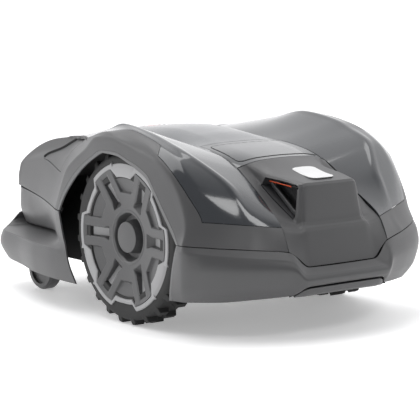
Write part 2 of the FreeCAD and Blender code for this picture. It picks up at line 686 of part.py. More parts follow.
def make_chassis():
    make_tub()
    heads = []
    for k, (x, y) in enumerate(SCREWS):
        heads.append(cylinder(f"screw_head_{k}", "sizes.screw_head", "sizes.head_depth", x, y,
                              "sizes.tub_floor + 0.35"))
        heads.append(cylinder(f"screw_shank_{k}", "sizes.screw_radius", 14, x, y, "sizes.tub_floor + 0.35"))
    pairs = [fuse(f"screw_{k}", heads[2 * k], heads[2 * k + 1]) for k in range(len(SCREWS))]
    keep("chassis_screws", group("screw_group", *pairs))

    seal = new_body("lid_seal", z="sizes.tub_split")
    ring = plane_sketch(seal, "XY_Plane", "seal_plan")
    outline(ring, tub_outline(0.2))
    outline(ring, tub_outline(size("wall") - 0.2))
    pad(seal, ring, "sizes.seal_depth")

    lid = new_body("chassis_lid", z="sizes.tub_split + sizes.seal_depth")
    flange = plane_sketch(lid, "XY_Plane", "lid_flange")
    outline(flange, tub_outline())
    pad(lid, flange, "sizes.wall")
    rear, front, half = -size("lid_rear"), size("lid_front"), size("lid_half")
    step = size("lid_step")

    def dome(inset):
        narrow = size("nose_half") - 2 - inset
        return [(rear + inset, -half + inset + 20), (rear + inset + 20, -half + inset), (step - 34, -half + inset),
                (step, -narrow), (front - inset, -narrow), (front - inset, narrow), (step, narrow),
                (step - 34, half - inset), (rear + inset + 20, half - inset), (rear + inset, half - inset - 20)]
    top = plane_sketch(lid, "XY_Plane", "lid_dome")
    outline(top, dome(0))
    pad(lid, top, "sizes.lid_top - sizes.tub_split - sizes.seal_depth")
    room = plane_sketch(lid, "XY_Plane", "lid_room")
    outline(room, dome(size("wall")))
    pocket(lid, room, "sizes.lid_top - sizes.tub_split - sizes.seal_depth - sizes.wall", reverse=True)

    keep("battery_pack", box("battery_pack", "sizes.battery_length", "sizes.battery_width",
                             "sizes.battery_height", -160, "-sizes.battery_width / 2", "sizes.tub_floor + 4"))
    board = box("board_plate", 118, 96, 1.6, -112, -48, 166)
    chips = [box(f"board_part_{k}", 16, 12, 4, -100 + 26 * k, -30 + 18 * (k % 3), 167.6) for k in range(4)]
    keep("main_board", fuse("board_solid", board, *chips))
    keep("wiring_loom", cylinder("wiring_loom", 3, 40, -60, 0, 125))

    rods = [cylinder(f"guide_{y}", "sizes.guide_radius", 122, "sizes.cut_x", f"{y} * sizes.guide_reach",
                     "sizes.tub_floor + sizes.wall + 0.05") for y in (-1, 1)]
    keep("height_guides", group("guide_pair", *rods))
    posts = [cylinder(f"post_{x}_{y}", "sizes.post_radius",
                      "sizes.frame_z - sizes.lid_top - sizes.post_gap", x, y, "sizes.lid_top")
             for x, y in ((-60, -96), (-60, 96), (167, -52), (167, 52))]
    keep("shell_posts", group("post_group", *posts))
    keep("guide_sensor", box("guide_sensor", 14, 60, 20, 272, -30, "sizes.tub_floor + 8"))

    bearings, bushes = [], []
    for side, name in SIDES:
        start = f"{side} * (sizes.tub_half - 6)"
        ring = cylinder(f"bearing_ring_{name}", "sizes.shaft_radius + 7.95", 8, 0, start, "sizes.axle_z", OUTWARD[side])
        bore = cylinder(f"bearing_bore_{name}", "sizes.shaft_radius + sizes.run_gap", 30, 0,
                        f"{side} * (sizes.tub_half - 16)", "sizes.axle_z", OUTWARD[side])
        bearings.append(minus(f"bearing_{name}", ring, bore))
        sleeve = cylinder(f"bush_sleeve_{name}", "sizes.bush_radius - 0.05", "sizes.arm_depth + 1", "sizes.caster_x",
                          f"{side} * sizes.caster_y", "sizes.arm_z - 0.5")
        hole = cylinder(f"bush_bore_{name}", "sizes.stem_radius + sizes.run_gap", 40, "sizes.caster_x",
                        f"{side} * sizes.caster_y", "sizes.arm_z - 10")
        bushes.append(minus(f"bush_{name}", sleeve, hole))
        gear = cylinder(f"gearmotor_case_{name}", "sizes.gear_radius", 62, 0, f"{side} * 66", "sizes.axle_z", OUTWARD[side])
        can = cylinder(f"gearmotor_can_{name}", 18, 38, 0, f"{side} * 28.5", "sizes.axle_z", OUTWARD[side])
        bore = cylinder(f"gearmotor_bore_{name}", "sizes.shaft_radius + sizes.run_gap", 40, 0,
                        f"{side} * 92", "sizes.axle_z", OUTWARD[side])
        case = fuse(f"gearmotor_body_{name}", gear, can)
        keep(f"gearmotor_{name}", minus(f"gearmotor_solid_{name}", case, bore))
    keep("axle_bearings", group("bearing_pair", *bearings))
    keep("caster_bushes", group("bush_pair", *bushes))


# ---------------------------------------------------------------- cutter
def make_cutter():
    motor = cylinder("motor_can", "sizes.motor_radius", "sizes.motor_height", "sizes.cut_x", 0, "sizes.motor_foot")
    plate = box("carriage_plate", 30, 144, 6, "sizes.cut_x - 15", -72, 100)
    holes = [cylinder(f"carriage_hole_{y}", "sizes.guide_radius + sizes.run_gap", 20, "sizes.cut_x",
                      f"{y} * sizes.guide_reach", 94) for y in (-1, 1)]
    bore = cylinder("motor_bore", "sizes.shaft_radius + 0.5", 26, "sizes.cut_x", 0, "sizes.motor_foot - 1")
    keep("cutting_motor", minus("cutting_motor_solid", fuse("motor_mass", motor, plate), *holes, bore))

    disc = new_body("cutting_disc", "sizes.cut_x", z="sizes.disc_z")
    plan = plane_sketch(disc, "XY_Plane", "disc_plan")
    bound_circle(plan, "sizes.disc_radius")
    pad(disc, plan, "sizes.disc_depth")
    hub = plane_sketch(disc, "XY_Plane", "disc_hub")
    bound_circle(hub, "sizes.hub_stub + 6")
    pad(disc, hub, "sizes.motor_foot - sizes.disc_z - 0.6")
    shaft = plane_sketch(disc, "XY_Plane", "disc_shaft")
    bound_circle(shaft, "sizes.shaft_radius")
    pad(disc, shaft, "sizes.motor_foot - sizes.disc_z + 22")
    stub = plane_sketch(disc, "XY_Plane", "disc_stub")
    bound_circle(stub, "sizes.hub_stub")
    pad(disc, stub, 9, reverse=True)
    retainer = plane_sketch(disc, "XY_Plane", "disc_retainer")
    bound_circle(retainer, "sizes.hub_stub + 4")
    retainer.AttachmentOffset = Placement(Vector(0, 0, -9), Rotation())
    pad(disc, retainer, 2, reverse=True)
    screw = plane_sketch(disc, "XY_Plane", "blade_screw")
    bound_circle(screw, "sizes.pivot_radius", size("pivot_reach"), 0)
    first = pad(disc, screw, 2.2, reverse=True)
    head = plane_sketch(disc, "XY_Plane", "blade_screw_head")
    bound_circle(head, "sizes.pivot_radius + 2.5", size("pivot_reach"), 0)
    head.AttachmentOffset = Placement(Vector(0, 0, -2.2), Rotation())
    second = pad(disc, head, 1.6, reverse=True)
    polar(disc, [first, second], 3)

    for k in range(3):
        turn = 120 * k
        blade = new_body(f"blade_{k + 1}", "sizes.cut_x", z="sizes.disc_z - 1.6", turn=Rotation(Vector(0, 0, 1), turn))
        flat = plane_sketch(blade, "XY_Plane", f"blade_plan_{k + 1}")
        near, half = size("pivot_reach") - 7, size("blade_width") / 2
        far = near + size("blade_length")
        outline(flat, [(near, -half + 3), (near + 3, -half), (far - 2, -half), (far, -half + 2), (far, half - 2),
                       (far - 2, half), (near + 3, half), (near, half - 3)])
        bound_circle(flat, "sizes.pivot_radius + sizes.run_gap", size("pivot_reach"), 0)
        pad(blade, flat, "sizes.blade_depth")

    skid = new_body("skid_plate", "sizes.cut_x", z="sizes.disc_z - 8.6")
    dish = plane_sketch(skid, "XZ_Plane", "skid_section")
    inner, outer = size("hub_stub") + size("run_gap"), size("skid_radius")
    outline(dish, [(inner, 0), (outer - 8, 0), (outer, 3), (outer, 4.2), (outer - 9, 1.6), (inner + 8, 1.6),
                   (inner + 8, 6), (inner, 6)])
    revolve(skid, dish)


# ---------------------------------------------------------------- drive wheels
def make_wheel(side, name):
    turn = OUTWARD[side]

    def wheel_body(label):
        return new_body(f"{label}_{name}", "0", f"{side} * sizes.tyre_inner", "sizes.axle_z", turn)

    tyre = wheel_body("tyre")
    section = plane_sketch(tyre, "XZ_Plane", f"tyre_section_{name}")
    rim, tread, width, round_off = size("rim_radius"), size("tyre_radius"), size("tyre_width"), 9
    outline(section, [(rim, 0), (tread - round_off, 0), (tread - 2, 3), (tread, round_off),
                      (tread, width - round_off), (tread - 2, width - 3), (tread - round_off, width), (rim, width)])
    revolve(tyre, section)
    lugs = []
    for row in (0, 1):
        block = plane_sketch(tyre, "XY_Plane", f"lug_{row}_{name}")
        low, high = size("tyre_radius") - 3, size("tyre_radius") + size("lug_height")
        half = size("lug_length") / 2
        outline(block, [(low, -half), (high - 1, -half + 1), (high, 0), (high - 1, half - 1), (low, half)])
        start = 1.5 if row == 0 else width - 1.5 - size("lug_width")
        spin = 180 / size("lug_count") * row
        block.AttachmentOffset = Placement(Vector(0, 0, start), Rotation(Vector(0, 0, 1), spin))
        lugs.append(pad(tyre, block, "sizes.lug_width"))
    polar(tyre, lugs, "sizes.lug_count")

    core = wheel_body("wheel_core")
    section = plane_sketch(core, "XZ_Plane", f"core_section_{name}")
    bore, hub = size("shaft_radius") + 0.05, size("hub_radius")
    inner, web = rim - size("rim_wall"), size("web_depth")
    outline(section, [(bore, 4), (hub, 4), (hub, 14), (inner, 18), (inner, 1), (rim - 0.1, 1),
                      (rim - 0.1, width - 6), (inner, width - 6), (inner, 18 + web - 6), (hub, 14 + web),
                      (hub, width - 14), (bore, width - 14)])
    revolve(core, section)

    ring = wheel_body("wheel_ring")
    lobes = plane_sketch(ring, "XY_Plane", f"ring_plan_{name}")
    outline(lobes, lobed_outline(side))
    bound_circle(lobes, "sizes.ring_bore")
    lobes.AttachmentOffset = Placement(Vector(0, 0, width + 0.1), Rotation())
    pad(ring, lobes, "sizes.ring_depth")

    cover = wheel_body("wheel_cover")
    section = plane_sketch(cover, "XZ_Plane", f"cover_section_{name}")
    edge, dish, wall, face = size("cover_radius"), size("cover_dish"), size("cover_wall"), width + 0.5
    well, cap, cap_face, well_floor = size("recess_radius"), size("cap_radius"), width - 2.5, width - 20
    outline(section, [(edge, face - wall), (edge, face), (well + 1, face - dish), (well - 1, face - dish - 1),
                      (well - 3, well_floor + wall), (cap + 3, well_floor + wall), (cap + 1, cap_face - 2),
                      (cap - 1, cap_face), (0, cap_face), (0, cap_face - wall), (cap - 2.5, cap_face - wall),
                      (cap, well_floor), (well - 0.5, well_floor), (well + 2, face - dish - wall)])
    revolve(cover, section)
    slot = plane_sketch(cover, "XY_Plane", f"cover_slot_{name}")
    reach, half, across, round_off = size("slot_reach"), size("slot_length") / 2, size("slot_width") / 2, 2
    outline(slot, [(reach - half, -across + round_off), (reach - half + round_off, -across),
                   (reach + half - round_off, -across), (reach + half, -across + round_off),
                   (reach + half, across - round_off), (reach + half - round_off, across),
                   (reach - half + round_off, across), (reach - half, across - round_off)])
    polar(cover, [pocket(cover, slot)], 6)

    shaft = cylinder(f"shaft_rod_{name}", "sizes.shaft_radius", 100, 0, f"{side} * 94", "sizes.axle_z", turn)
    nut = cylinder(f"shaft_nut_{name}", 11, 6, 0, f"{side} * 193.1", "sizes.axle_z", turn)
    keep(f"drive_shaft_{name}", fuse(f"drive_shaft_solid_{name}", shaft, nut))


def lobed_outline(side):
    """Three wide lobes, one upwards, with a notch between each pair; local -y is up on the left."""
    plain = size("ring_radius")
    lobe, notch = plain + size("lobe_rise"), plain - size("notch_fall")
    steps = [(-60, notch), (-47, notch + 1), (-43, plain), (-30, plain), (-17.5, plain), (-13, lobe), (0, lobe),
             (13, lobe), (17.5, plain), (30, plain), (43, plain), (47, notch + 1)]
    points = []
    for centre in (0, 120, 240):
        for turn, reach in steps:
            angle = math.radians(centre + turn)
            points.append((reach * math.sin(angle), -side * reach * math.cos(angle)))
    return points


# ---------------------------------------------------------------- casters
def make_caster(side, name):
    stem_y = f"{side} * sizes.caster_y"
    wheel_x = "sizes.caster_x - sizes.caster_trail"
    gap = 1.2
    half = size("caster_width") / 2
    parts = [cylinder(f"fork_stem_{name}", "sizes.stem_radius", "sizes.arm_depth + 7.2", "sizes.caster_x", stem_y, 76),
             cylinder(f"fork_clip_{name}", "sizes.stem_radius + 2.5", 2, "sizes.caster_x", stem_y,
                      "sizes.arm_z + sizes.arm_depth + 1.2"),
             box(f"fork_bridge_{name}", 34, 2 * (half + gap + 3), 5, "sizes.caster_x - 25",
                 f"{stem_y} - {half + gap + 3}", 72)]
    for hand in (1, -1):
        start = half + gap if hand == 1 else -half - gap - 3
        parts.append(box(f"fork_leg_{name}_{hand}", 18, 3, 47, f"{wheel_x} - 9", f"{stem_y} + {start}", 26))
    pin = cylinder(f"fork_pin_{name}", "sizes.pin_radius", 2 * (half + gap + 3), wheel_x,
                   f"{stem_y} - {half + gap + 3}", "sizes.caster_radius", OUTWARD[1])
    keep(f"caster_fork_{name}", fuse(f"fork_solid_{name}", *parts, pin))

    wheel = new_body(f"caster_wheel_{name}", wheel_x, f"{stem_y} - sizes.caster_width / 2", "sizes.caster_radius",
                     OUTWARD[1])
    section = plane_sketch(wheel, "XZ_Plane", f"caster_section_{name}")
    radius, width, bore = size("caster_radius"), size("caster_width"), size("pin_radius") + size("run_gap")
    outline(section, [(bore, 1), (10, 1), (10, 5), (radius - 9, 5), (radius - 9, 0), (radius - 3, 0), (radius, 4),
                      (radius, width - 4), (radius - 3, width), (radius - 9, width), (radius - 9, width - 5),
                      (10, width - 5), (10, width - 1), (bore, width - 1)])
    revolve(wheel, section)


make_shells()
make_handle()
make_controls()
make_chassis()
make_cutter()
for side, name in SIDES:
    make_wheel(side, name)
    make_caster(side, name)

doc.recompute()
for item in doc.Objects:
    if {"Invalid", "Error"} & set(item.State):
        raise RuntimeError(f"{item.Label} failed to recompute: {item.State}")
os.makedirs("parts", exist_ok=True)
for item in nodes:
    shape = item.Shape
    if shape.isNull() or not shape.isValid() or shape.Volume <= 0:
        raise RuntimeError(f"{item.Label} has no valid solid")
for item in nodes:
    shape = item.Shape
    bounds = shape.BoundBox
    low = [round(v, 1) for v in (bounds.XMin, bounds.YMin, bounds.ZMin)]
    high = [round(v, 1) for v in (bounds.XMax, bounds.YMax, bounds.ZMax)]
    print(f"{item.Label}: {len(shape.Solids)} solid, {shape.Volume / 1000:.1f} cm3, {low} to {high}")
    shape.exportStep(f"parts/{item.Label}.step")
print(len(nodes), "sub-parts")
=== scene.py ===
"""Robotic lawn mower: the shells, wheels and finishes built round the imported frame, in metres."""
import bmesh
import bpy
import json
import math
import numpy as np
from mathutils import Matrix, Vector


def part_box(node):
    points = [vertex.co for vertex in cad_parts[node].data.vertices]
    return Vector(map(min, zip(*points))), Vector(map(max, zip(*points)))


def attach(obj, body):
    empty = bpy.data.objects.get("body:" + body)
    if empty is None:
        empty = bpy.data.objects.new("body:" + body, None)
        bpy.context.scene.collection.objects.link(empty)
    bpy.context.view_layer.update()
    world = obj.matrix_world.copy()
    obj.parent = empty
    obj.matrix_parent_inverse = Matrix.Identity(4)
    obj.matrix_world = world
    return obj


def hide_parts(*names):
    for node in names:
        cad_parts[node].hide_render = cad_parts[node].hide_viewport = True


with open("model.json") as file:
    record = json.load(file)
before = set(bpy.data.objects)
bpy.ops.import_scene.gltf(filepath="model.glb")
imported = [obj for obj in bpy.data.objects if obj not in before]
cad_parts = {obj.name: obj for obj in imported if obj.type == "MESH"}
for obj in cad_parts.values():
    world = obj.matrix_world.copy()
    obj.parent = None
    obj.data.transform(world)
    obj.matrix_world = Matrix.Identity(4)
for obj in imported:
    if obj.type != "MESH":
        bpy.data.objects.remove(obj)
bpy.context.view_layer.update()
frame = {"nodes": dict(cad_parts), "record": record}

MM = 0.001
SIDES = ((1, "left"), (-1, "right"))
wheel_low, wheel_high = (np.array(corner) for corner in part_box("tyre_left"))
AXLE = (wheel_low + wheel_high) / 2 * [1, 0, 1]
# The shells' wall and the open seam between two shells, in mm.
SKIN = 2.6
SEAM = 0.9

# ------------------------------------------------------------------ camera, light and floor
camera_data = bpy.data.cameras.new("camera")
camera = bpy.data.objects.new("camera", camera_data)
bpy.context.scene.collection.objects.link(camera)
bpy.context.scene.camera = camera
CAMERA_FROM_AXLE, CAMERA_HEIGHT = (-2.181, 1.7594), 0.5473
VIEW = Vector((0.7793, -0.6106, -0.1408))
camera.location = Vector((AXLE[0] + CAMERA_FROM_AXLE[0], CAMERA_FROM_AXLE[1], CAMERA_HEIGHT))
camera.rotation_euler = VIEW.to_track_quat("-Z", "Y").to_euler()
camera_data.lens = 161.9
camera_data.sensor_width = 36.0


def srgb(code):
    """A colour written as an sRGB hex code, as the linear values that shaders take."""
    values = np.array([int(code[k:k + 2], 16) for k in (1, 3, 5)]) / 255
    linear = np.where(values <= 0.04045, values / 12.92, ((values + 0.055) / 1.055) ** 2.4)
    return (*[float(v) for v in linear], 1.0)


def add(tree, kind, settings=None, links=None):
    """Adds one shader node: settings go to its sockets or properties, links join other outputs to sockets."""
    item = tree.nodes.new(kind)
    for name, value in (settings or {}).items():
        if name in item.inputs:
            item.inputs[name].default_value = value
        else:
            setattr(item, name, value)
    for name, output in (links or {}).items():
        tree.links.new(output, item.inputs[name])
    return item


def soft_box(name, place, aim, width, height, watts):
    """A large soft lamp at place that looks at aim."""
    data = bpy.data.lights.new(name, "AREA")
    data.shape = "RECTANGLE"
    data.size, data.size_y, data.energy = width, height, watts
    lamp = bpy.data.objects.new(name, data)
    bpy.context.scene.collection.objects.link(lamp)
    lamp.location = place
    lamp.rotation_euler = (Vector(aim) - Vector(place)).to_track_quat("-Z", "Y").to_euler()
    return lamp


def light_the_studio():
    """Soft boxes over and beside the mower, in a white room that is dark on the side the camera stands on."""
    soft_box("top_light", (0.4, 0.3, 2.4), (0, 0, 0.1), 2.2, 1.8, 30)
    soft_box("left_light", (0.1, 2.6, 0.55), (0.0, 0.2, 0.12), 1.6, 0.7, 8)
    soft_box("front_light", (2.0, 1.8, 1.5), (0.1, 0.0, 0.15), 1.4, 1.0, 13)
    soft_box("rear_light", (-1.75, -0.25, 1.8), (-0.23, 0.16, 0.18), 0.75, 0.6, 8)
    world = bpy.data.worlds.new("studio_room")
    bpy.context.scene.world = world
    world.use_nodes = True
    tree = world.node_tree
    tree.nodes.clear()
    place = add(tree, "ShaderNodeTexCoord")
    towards = add(tree, "ShaderNodeVectorMath", {"operation": "DOT_PRODUCT"})
    tree.links.new(place.outputs["Generated"], towards.inputs[0])
    towards.inputs[1].default_value = (-0.80, 0.55, 0.22)
    ramp = add(tree, "ShaderNodeValToRGB", links={"Fac": towards.outputs["Value"]})
    stops = ramp.color_ramp.elements
    stops[0].position, stops[0].color = 0.0, (0.92, 0.92, 0.93, 1.0)
    stops[1].position, stops[1].color = 0.55, (0.075, 0.075, 0.08, 1.0)
    back = add(tree, "ShaderNodeBackground", {"Strength": 1.35}, {"Color": ramp.outputs["Color"]})
    add(tree, "ShaderNodeOutputWorld", links={"Surface": back.outputs["Background"]})


def lay_floor():
    """A plain pale floor under the mower."""
    reach = 60.0
    ring = np.array([(-1, -1, 0), (1, -1, 0), (1, 1, 0), (-1, 1, 0)]) * reach
    mesh = bpy.data.meshes.new("floor")
    mesh.from_pydata(ring.tolist(), [], [(0, 1, 2, 3)])
    floor = bpy.data.objects.new("floor", mesh)
    bpy.context.scene.collection.objects.link(floor)
    material = bpy.data.materials.new("pale_floor_paint")
    material.use_nodes = True
    tree = material.node_tree
    tree.nodes.clear()
    shader = add(tree, "ShaderNodeBsdfPrincipled", {"Base Color": srgb("#f7f7f7"), "Roughness": 0.6,
                                                    "Emission Color": srgb("#ffffff"), "Emission Strength": 0.33})
    add(tree, "ShaderNodeOutputMaterial", links={"Surface": shader.outputs["BSDF"]})
    mesh.materials.append(material)


light_the_studio()
lay_floor()
bpy.context.scene.view_settings.view_transform = "Standard"


# ------------------------------------------------------------------ materials
def new_material(name):
    """An empty node material and its tree."""
    material = bpy.data.materials.new(name)
    material.use_nodes = True
    material.node_tree.nodes.clear()
    return material, material.node_tree


def toned(colour, share):
    """A colour with its red, green and blue multiplied by a share."""
    return tuple(v * share for v in colour[:3]) + (1.0,)


def moulded_plastic(name, colour, roughness, grain_mm, grain_depth, specular=0.5, mottle=0.05):
    """Injection-moulded plastic from an etched tool: a fine pebbled grain that breaks the highlight,
    and a faint cloudy difference in tone where the melt flowed."""
    material, tree = new_material(name)
    place = add(tree, "ShaderNodeTexCoord")
    grain = add(tree, "ShaderNodeTexNoise", {"Scale": 1 / (grain_mm * MM), "Detail": 3.0, "Roughness": 0.6},
                {"Vector": place.outputs["Object"]})
    cloud = add(tree, "ShaderNodeTexNoise", {"Scale": 9.0, "Detail": 4.0}, {"Vector": place.outputs["Object"]})
    base = srgb(colour)
    tone = add(tree, "ShaderNodeMix", {"data_type": "RGBA"})
    tree.links.new(cloud.outputs["Fac"], tone.inputs[0])
    tone.inputs[6].default_value, tone.inputs[7].default_value = toned(base, 1 - mottle), toned(base, 1 + mottle)
    shine = add(tree, "ShaderNodeMapRange", {"To Min": roughness - 0.05, "To Max": roughness + 0.05},
                {"Value": grain.outputs["Fac"]})
    bump = add(tree, "ShaderNodeBump", {"Strength": grain_depth, "Distance": 0.0002},
               {"Height": grain.outputs["Fac"]})
    shader = add(tree, "ShaderNodeBsdfPrincipled", {"IOR": 1.53, "Specular IOR Level": specular},
                 {"Base Color": tone.outputs[2], "Roughness": shine.outputs["Result"],
                  "Normal": bump.outputs["Normal"]})
    add(tree, "ShaderNodeOutputMaterial", links={"Surface": shader.outputs["BSDF"]})
    return material


def polished_plastic(name, colour, roughness=0.10):
    """High-gloss moulded cover: a mirror-like skin with the slow ripple of a polished tool
    and a trace of dust that dulls it here and there."""
    material, tree = new_material(name)
    place = add(tree, "ShaderNodeTexCoord")
    ripple = add(tree, "ShaderNodeTexNoise", {"Scale": 60.0, "Detail": 1.0}, {"Vector": place.outputs["Object"]})
    dust = add(tree, "ShaderNodeTexNoise", {"Scale": 900.0, "Detail": 2.0}, {"Vector": place.outputs["Object"]})
    shine = add(tree, "ShaderNodeMapRange", {"From Min": 0.35, "From Max": 0.75, "To Min": roughness,
                                             "To Max": roughness + 0.08}, {"Value": dust.outputs["Fac"]})
    tone = add(tree, "ShaderNodeMix", {"data_type": "RGBA"})
    base = srgb(colour)
    tree.links.new(dust.outputs["Fac"], tone.inputs[0])
    tone.inputs[6].default_value = base
    tone.inputs[7].default_value = toned(base, 1.12)
    bump = add(tree, "ShaderNodeBump", {"Strength": 0.04, "Distance": 0.0004}, {"Height": ripple.outputs["Fac"]})
    shader = add(tree, "ShaderNodeBsdfPrincipled", {"IOR": 1.52, "Coat Weight": 0.35, "Coat Roughness": 0.05},
                 {"Base Color": tone.outputs[2], "Roughness": shine.outputs["Result"],
                  "Normal": bump.outputs["Normal"]})
    add(tree, "ShaderNodeOutputMaterial", links={"Surface": shader.outputs["BSDF"]})
    return material


def moulded_rubber(name, colour):
    """Vulcanised rubber: dark, dry, with a fine matt bloom and a few scuffs."""
    material, tree = new_material(name)
    place = add(tree, "ShaderNodeTexCoord")
    grit = add(tree, "ShaderNodeTexNoise", {"Scale": 700.0, "Detail": 3.0}, {"Vector": place.outputs["Object"]})
    scuff = add(tree, "ShaderNodeTexNoise", {"Scale": 45.0, "Detail": 6.0, "Roughness": 0.7},
                {"Vector": place.outputs["Object"]})
    tone = add(tree, "ShaderNodeMix", {"data_type": "RGBA"})
    base = srgb(colour)
    tree.links.new(scuff.outputs["Fac"], tone.inputs[0])
    tone.inputs[6].default_value = toned(base, 0.8)
    tone.inputs[7].default_value = toned(base, 1.25)
    bump = add(tree, "ShaderNodeBump", {"Strength": 0.25, "Distance": 0.0003}, {"Height": grit.outputs["Fac"]})
    shine = add(tree, "ShaderNodeMapRange", {"To Min": 0.6, "To Max": 0.78}, {"Value": scuff.outputs["Fac"]})
    shader = add(tree, "ShaderNodeBsdfPrincipled", {"IOR": 1.5},
                 {"Base Color": tone.outputs[2], "Roughness": shine.outputs["Result"],
                  "Normal": bump.outputs["Normal"]})
    add(tree, "ShaderNodeOutputMaterial", links={"Surface": shader.outputs["BSDF"]})
    return material


def worked_metal(name, colour, roughness, grain_mm, stretch=(1, 1, 1)):
    """Bare metal with the marks of its making: fine scratches along one way, or a cast skin."""
    material, tree = new_material(name)
    place = add(tree, "ShaderNodeTexCoord")
    along = add(tree, "ShaderNodeMapping", {"Scale": stretch}, {"Vector": place.outputs["Object"]})
    marks = add(tree, "ShaderNodeTexNoise", {"Scale": 1 / (grain_mm * MM), "Detail": 4.0},
                {"Vector": along.outputs["Vector"]})
    shine = add(tree, "ShaderNodeMapRange", {"To Min": roughness - 0.08, "To Max": roughness + 0.12},
                {"Value": marks.outputs["Fac"]})
    tone = add(tree, "ShaderNodeMix", {"data_type": "RGBA"})
    base = srgb(colour)
    tree.links.new(marks.outputs["Fac"], tone.inputs[0])
    tone.inputs[6].default_value = toned(base, 0.88)
    tone.inputs[7].default_value = base
    bump = add(tree, "ShaderNodeBump", {"Strength": 0.15, "Distance": 0.0001}, {"Height": marks.outputs["Fac"]})
    shader = add(tree, "ShaderNodeBsdfPrincipled", {"Metallic": 1.0},
                 {"Base Color": tone.outputs[2], "Roughness": shine.outputs["Result"],
                  "Normal": bump.outputs["Normal"]})
    add(tree, "ShaderNodeOutputMaterial", links={"Surface": shader.outputs["BSDF"]})
    return material


# Etched ABS shells: dull, with a soft broken highlight. The lips at the shell's edges are a paler copy of the shell's
# grey, a painted highlight for the light their chamfer catches; the liner is darker.
GRAINED_SHELL = moulded_plastic("grained_grey_abs_shell", "#4c4c4d", 0.42, 0.9, 0.25)
LIP_GREY_PAINTED_HIGHLIGHT = moulded_plastic("grained_grey_abs_lip_painted_highlight", "#616162", 0.45, 0.9, 0.2)
RECESS_LINER = moulded_plastic("dark_grained_recess_liner", "#38383a", 0.5, 0.8, 0.25)
# Polished covers: they mirror the studio, the hatch less sharply than the shoulders. The hatch's paler graphite is a
# painted highlight for the bright reflection on its dome.
GLOSS_SHELL = polished_plastic("polished_graphite_cover", "#3c3e41")
HATCH_GLOSS_PAINTED_HIGHLIGHT = polished_plastic("polished_graphite_hatch_painted_highlight", "#5a5c5f", 0.2)
# Rubber: nearly black and dry, with no clear highlight.
TYRE_RUBBER = moulded_rubber("moulded_tyre_rubber", "#202020")
SOFT_RUBBER = moulded_rubber("moulded_seal_rubber", "#242424")
# Nylon and polypropylene: evenly dull, in greys that part one wheel piece from the next. The tongues are a darker
# copy of the ring's light grey, painted shade for the slot floors that lean away from the light.
WHEEL_NYLON = moulded_plastic("grained_wheel_nylon", "#484849", 0.4, 0.8, 0.2)
RING_NYLON = moulded_plastic("light_grey_ring_nylon", "#939394", 0.42, 0.8, 0.12)
TONGUE_NYLON_PAINTED_SHADE = moulded_plastic("mid_grey_tongue_nylon_painted_shade", "#8c8c8d", 0.4, 0.8, 0.12)
BLACK_NYLON = moulded_plastic("black_glass_filled_nylon", "#151516", 0.6, 0.7, 0.3, 0.2)
FRAME_PLASTIC = moulded_plastic("ribbed_frame_polypropylene", "#2c2c2d", 0.5, 0.8, 0.2)
# Small coloured mouldings, the circuit board's lacquer and the display's dark window.
ORANGE_PLASTIC = moulded_plastic("orange_moulded_strip", "#c4491f", 0.45, 0.8, 0.1)
STOP_PLASTIC = polished_plastic("red_moulded_button", "#b3170f", 0.2)
WHITE_INLAY = moulded_plastic("white_moulded_inlay", "#dedede", 0.35, 0.8, 0.05)
BOARD_RESIN = moulded_plastic("green_solder_mask", "#14452a", 0.3, 0.5, 0.1)
SCREEN_GLASS = polished_plastic("tinted_display_window", "#0b0d0e", 0.04)
# Metals: brushed steel and brass streak the light along the brushing, and cast aluminium scatters it.
STEEL = worked_metal("brushed_stainless_steel", "#b9b9bb", 0.32, 0.4, (1, 1, 12))
CAST_METAL = worked_metal("cast_motor_aluminium", "#8e9093", 0.45, 0.9)
CONTACT_METAL = worked_metal("plated_contact_brass", "#c7a462", 0.28, 0.3, (12, 1, 1))

FINISHES = {
    "body_matte": GRAINED_SHELL, "shell_gloss": GLOSS_SHELL, "tyre": TYRE_RUBBER, "wheel_grey": WHEEL_NYLON,
    "ring_grey": RING_NYLON, "black_plastic": BLACK_NYLON, "frame_plastic": FRAME_PLASTIC, "steel": STEEL,
    "motor_metal": CAST_METAL, "contact_metal": CONTACT_METAL, "rubber": SOFT_RUBBER, "orange": ORANGE_PLASTIC,
    "stop_red": STOP_PLASTIC, "screen": SCREEN_GLASS, "board_green": BOARD_RESIN,
}


def finish_frame_nodes():
    """Every CAD node that stays takes the finish of its slot."""
    for entry in frame["record"]["subparts"]:
        item = frame["nodes"][entry["node"]]
        item.data.materials.clear()
        item.data.materials.append(FINISHES[entry["material_slot"]])


finish_frame_nodes()


# ------------------------------------------------------------------ surfaces
def smooth_through(points, at):
    """A smooth curve through points along the first axis, read at fractional positions.

    Each stretch is a cubic between two points. Its slope at a point is the harmonic mean of the steps
    on either side, and nothing where they disagree in sign, so the curve never overshoots.
    """
    steps = np.diff(points, axis=0)
    before, after = steps[:-1], steps[1:]
    product = before * after
    total = np.where(product > 0, before + after, 1.0)
    inner = np.where(product > 0, 2 * product / total, 0.0)
    if len(steps) > 1:
        first, last = (3 * steps[:1] - inner[:1]) / 2, (3 * steps[-1:] - inner[-1:]) / 2
    else:
        first = last = steps[:1]
    slopes = np.concatenate([first, inner, last])
    k = np.clip(np.floor(at).astype(int), 0, len(steps) - 1)
    t = (at - k).reshape((-1,) + (1,) * (points.ndim - 1))
    return ((2 * t**3 - 3 * t**2 + 1) * points[k] + (t**3 - 2 * t**2 + t) * slopes[k]
            + (3 * t**2 - 2 * t**3) * points[k + 1] + (t**3 - t**2) * slopes[k + 1])


def fine_line(points, samples, breaks=()):
    """Points along the first axis made fine, with a corner kept at each of the breaks."""
    stops = [0, *breaks, len(points) - 1]
    parts = []
    for start, end in zip(stops, stops[1:]):
        at = np.linspace(0, end - start, (end - start) * samples + 1)
        parts.append(smooth_through(points[start:end + 1], at)[(start > 0):])
    return np.concatenate(parts)


def fine_grid(points, samples, row_breaks=(), column_breaks=()):
    """A net of points made fine: the smooth curve through each column, then through each row of those."""
    dense = fine_line(np.asarray(points, float), samples[0], row_breaks)
    return fine_line(dense.swapaxes(0, 1), samples[1], column_breaks).swapaxes(0, 1)


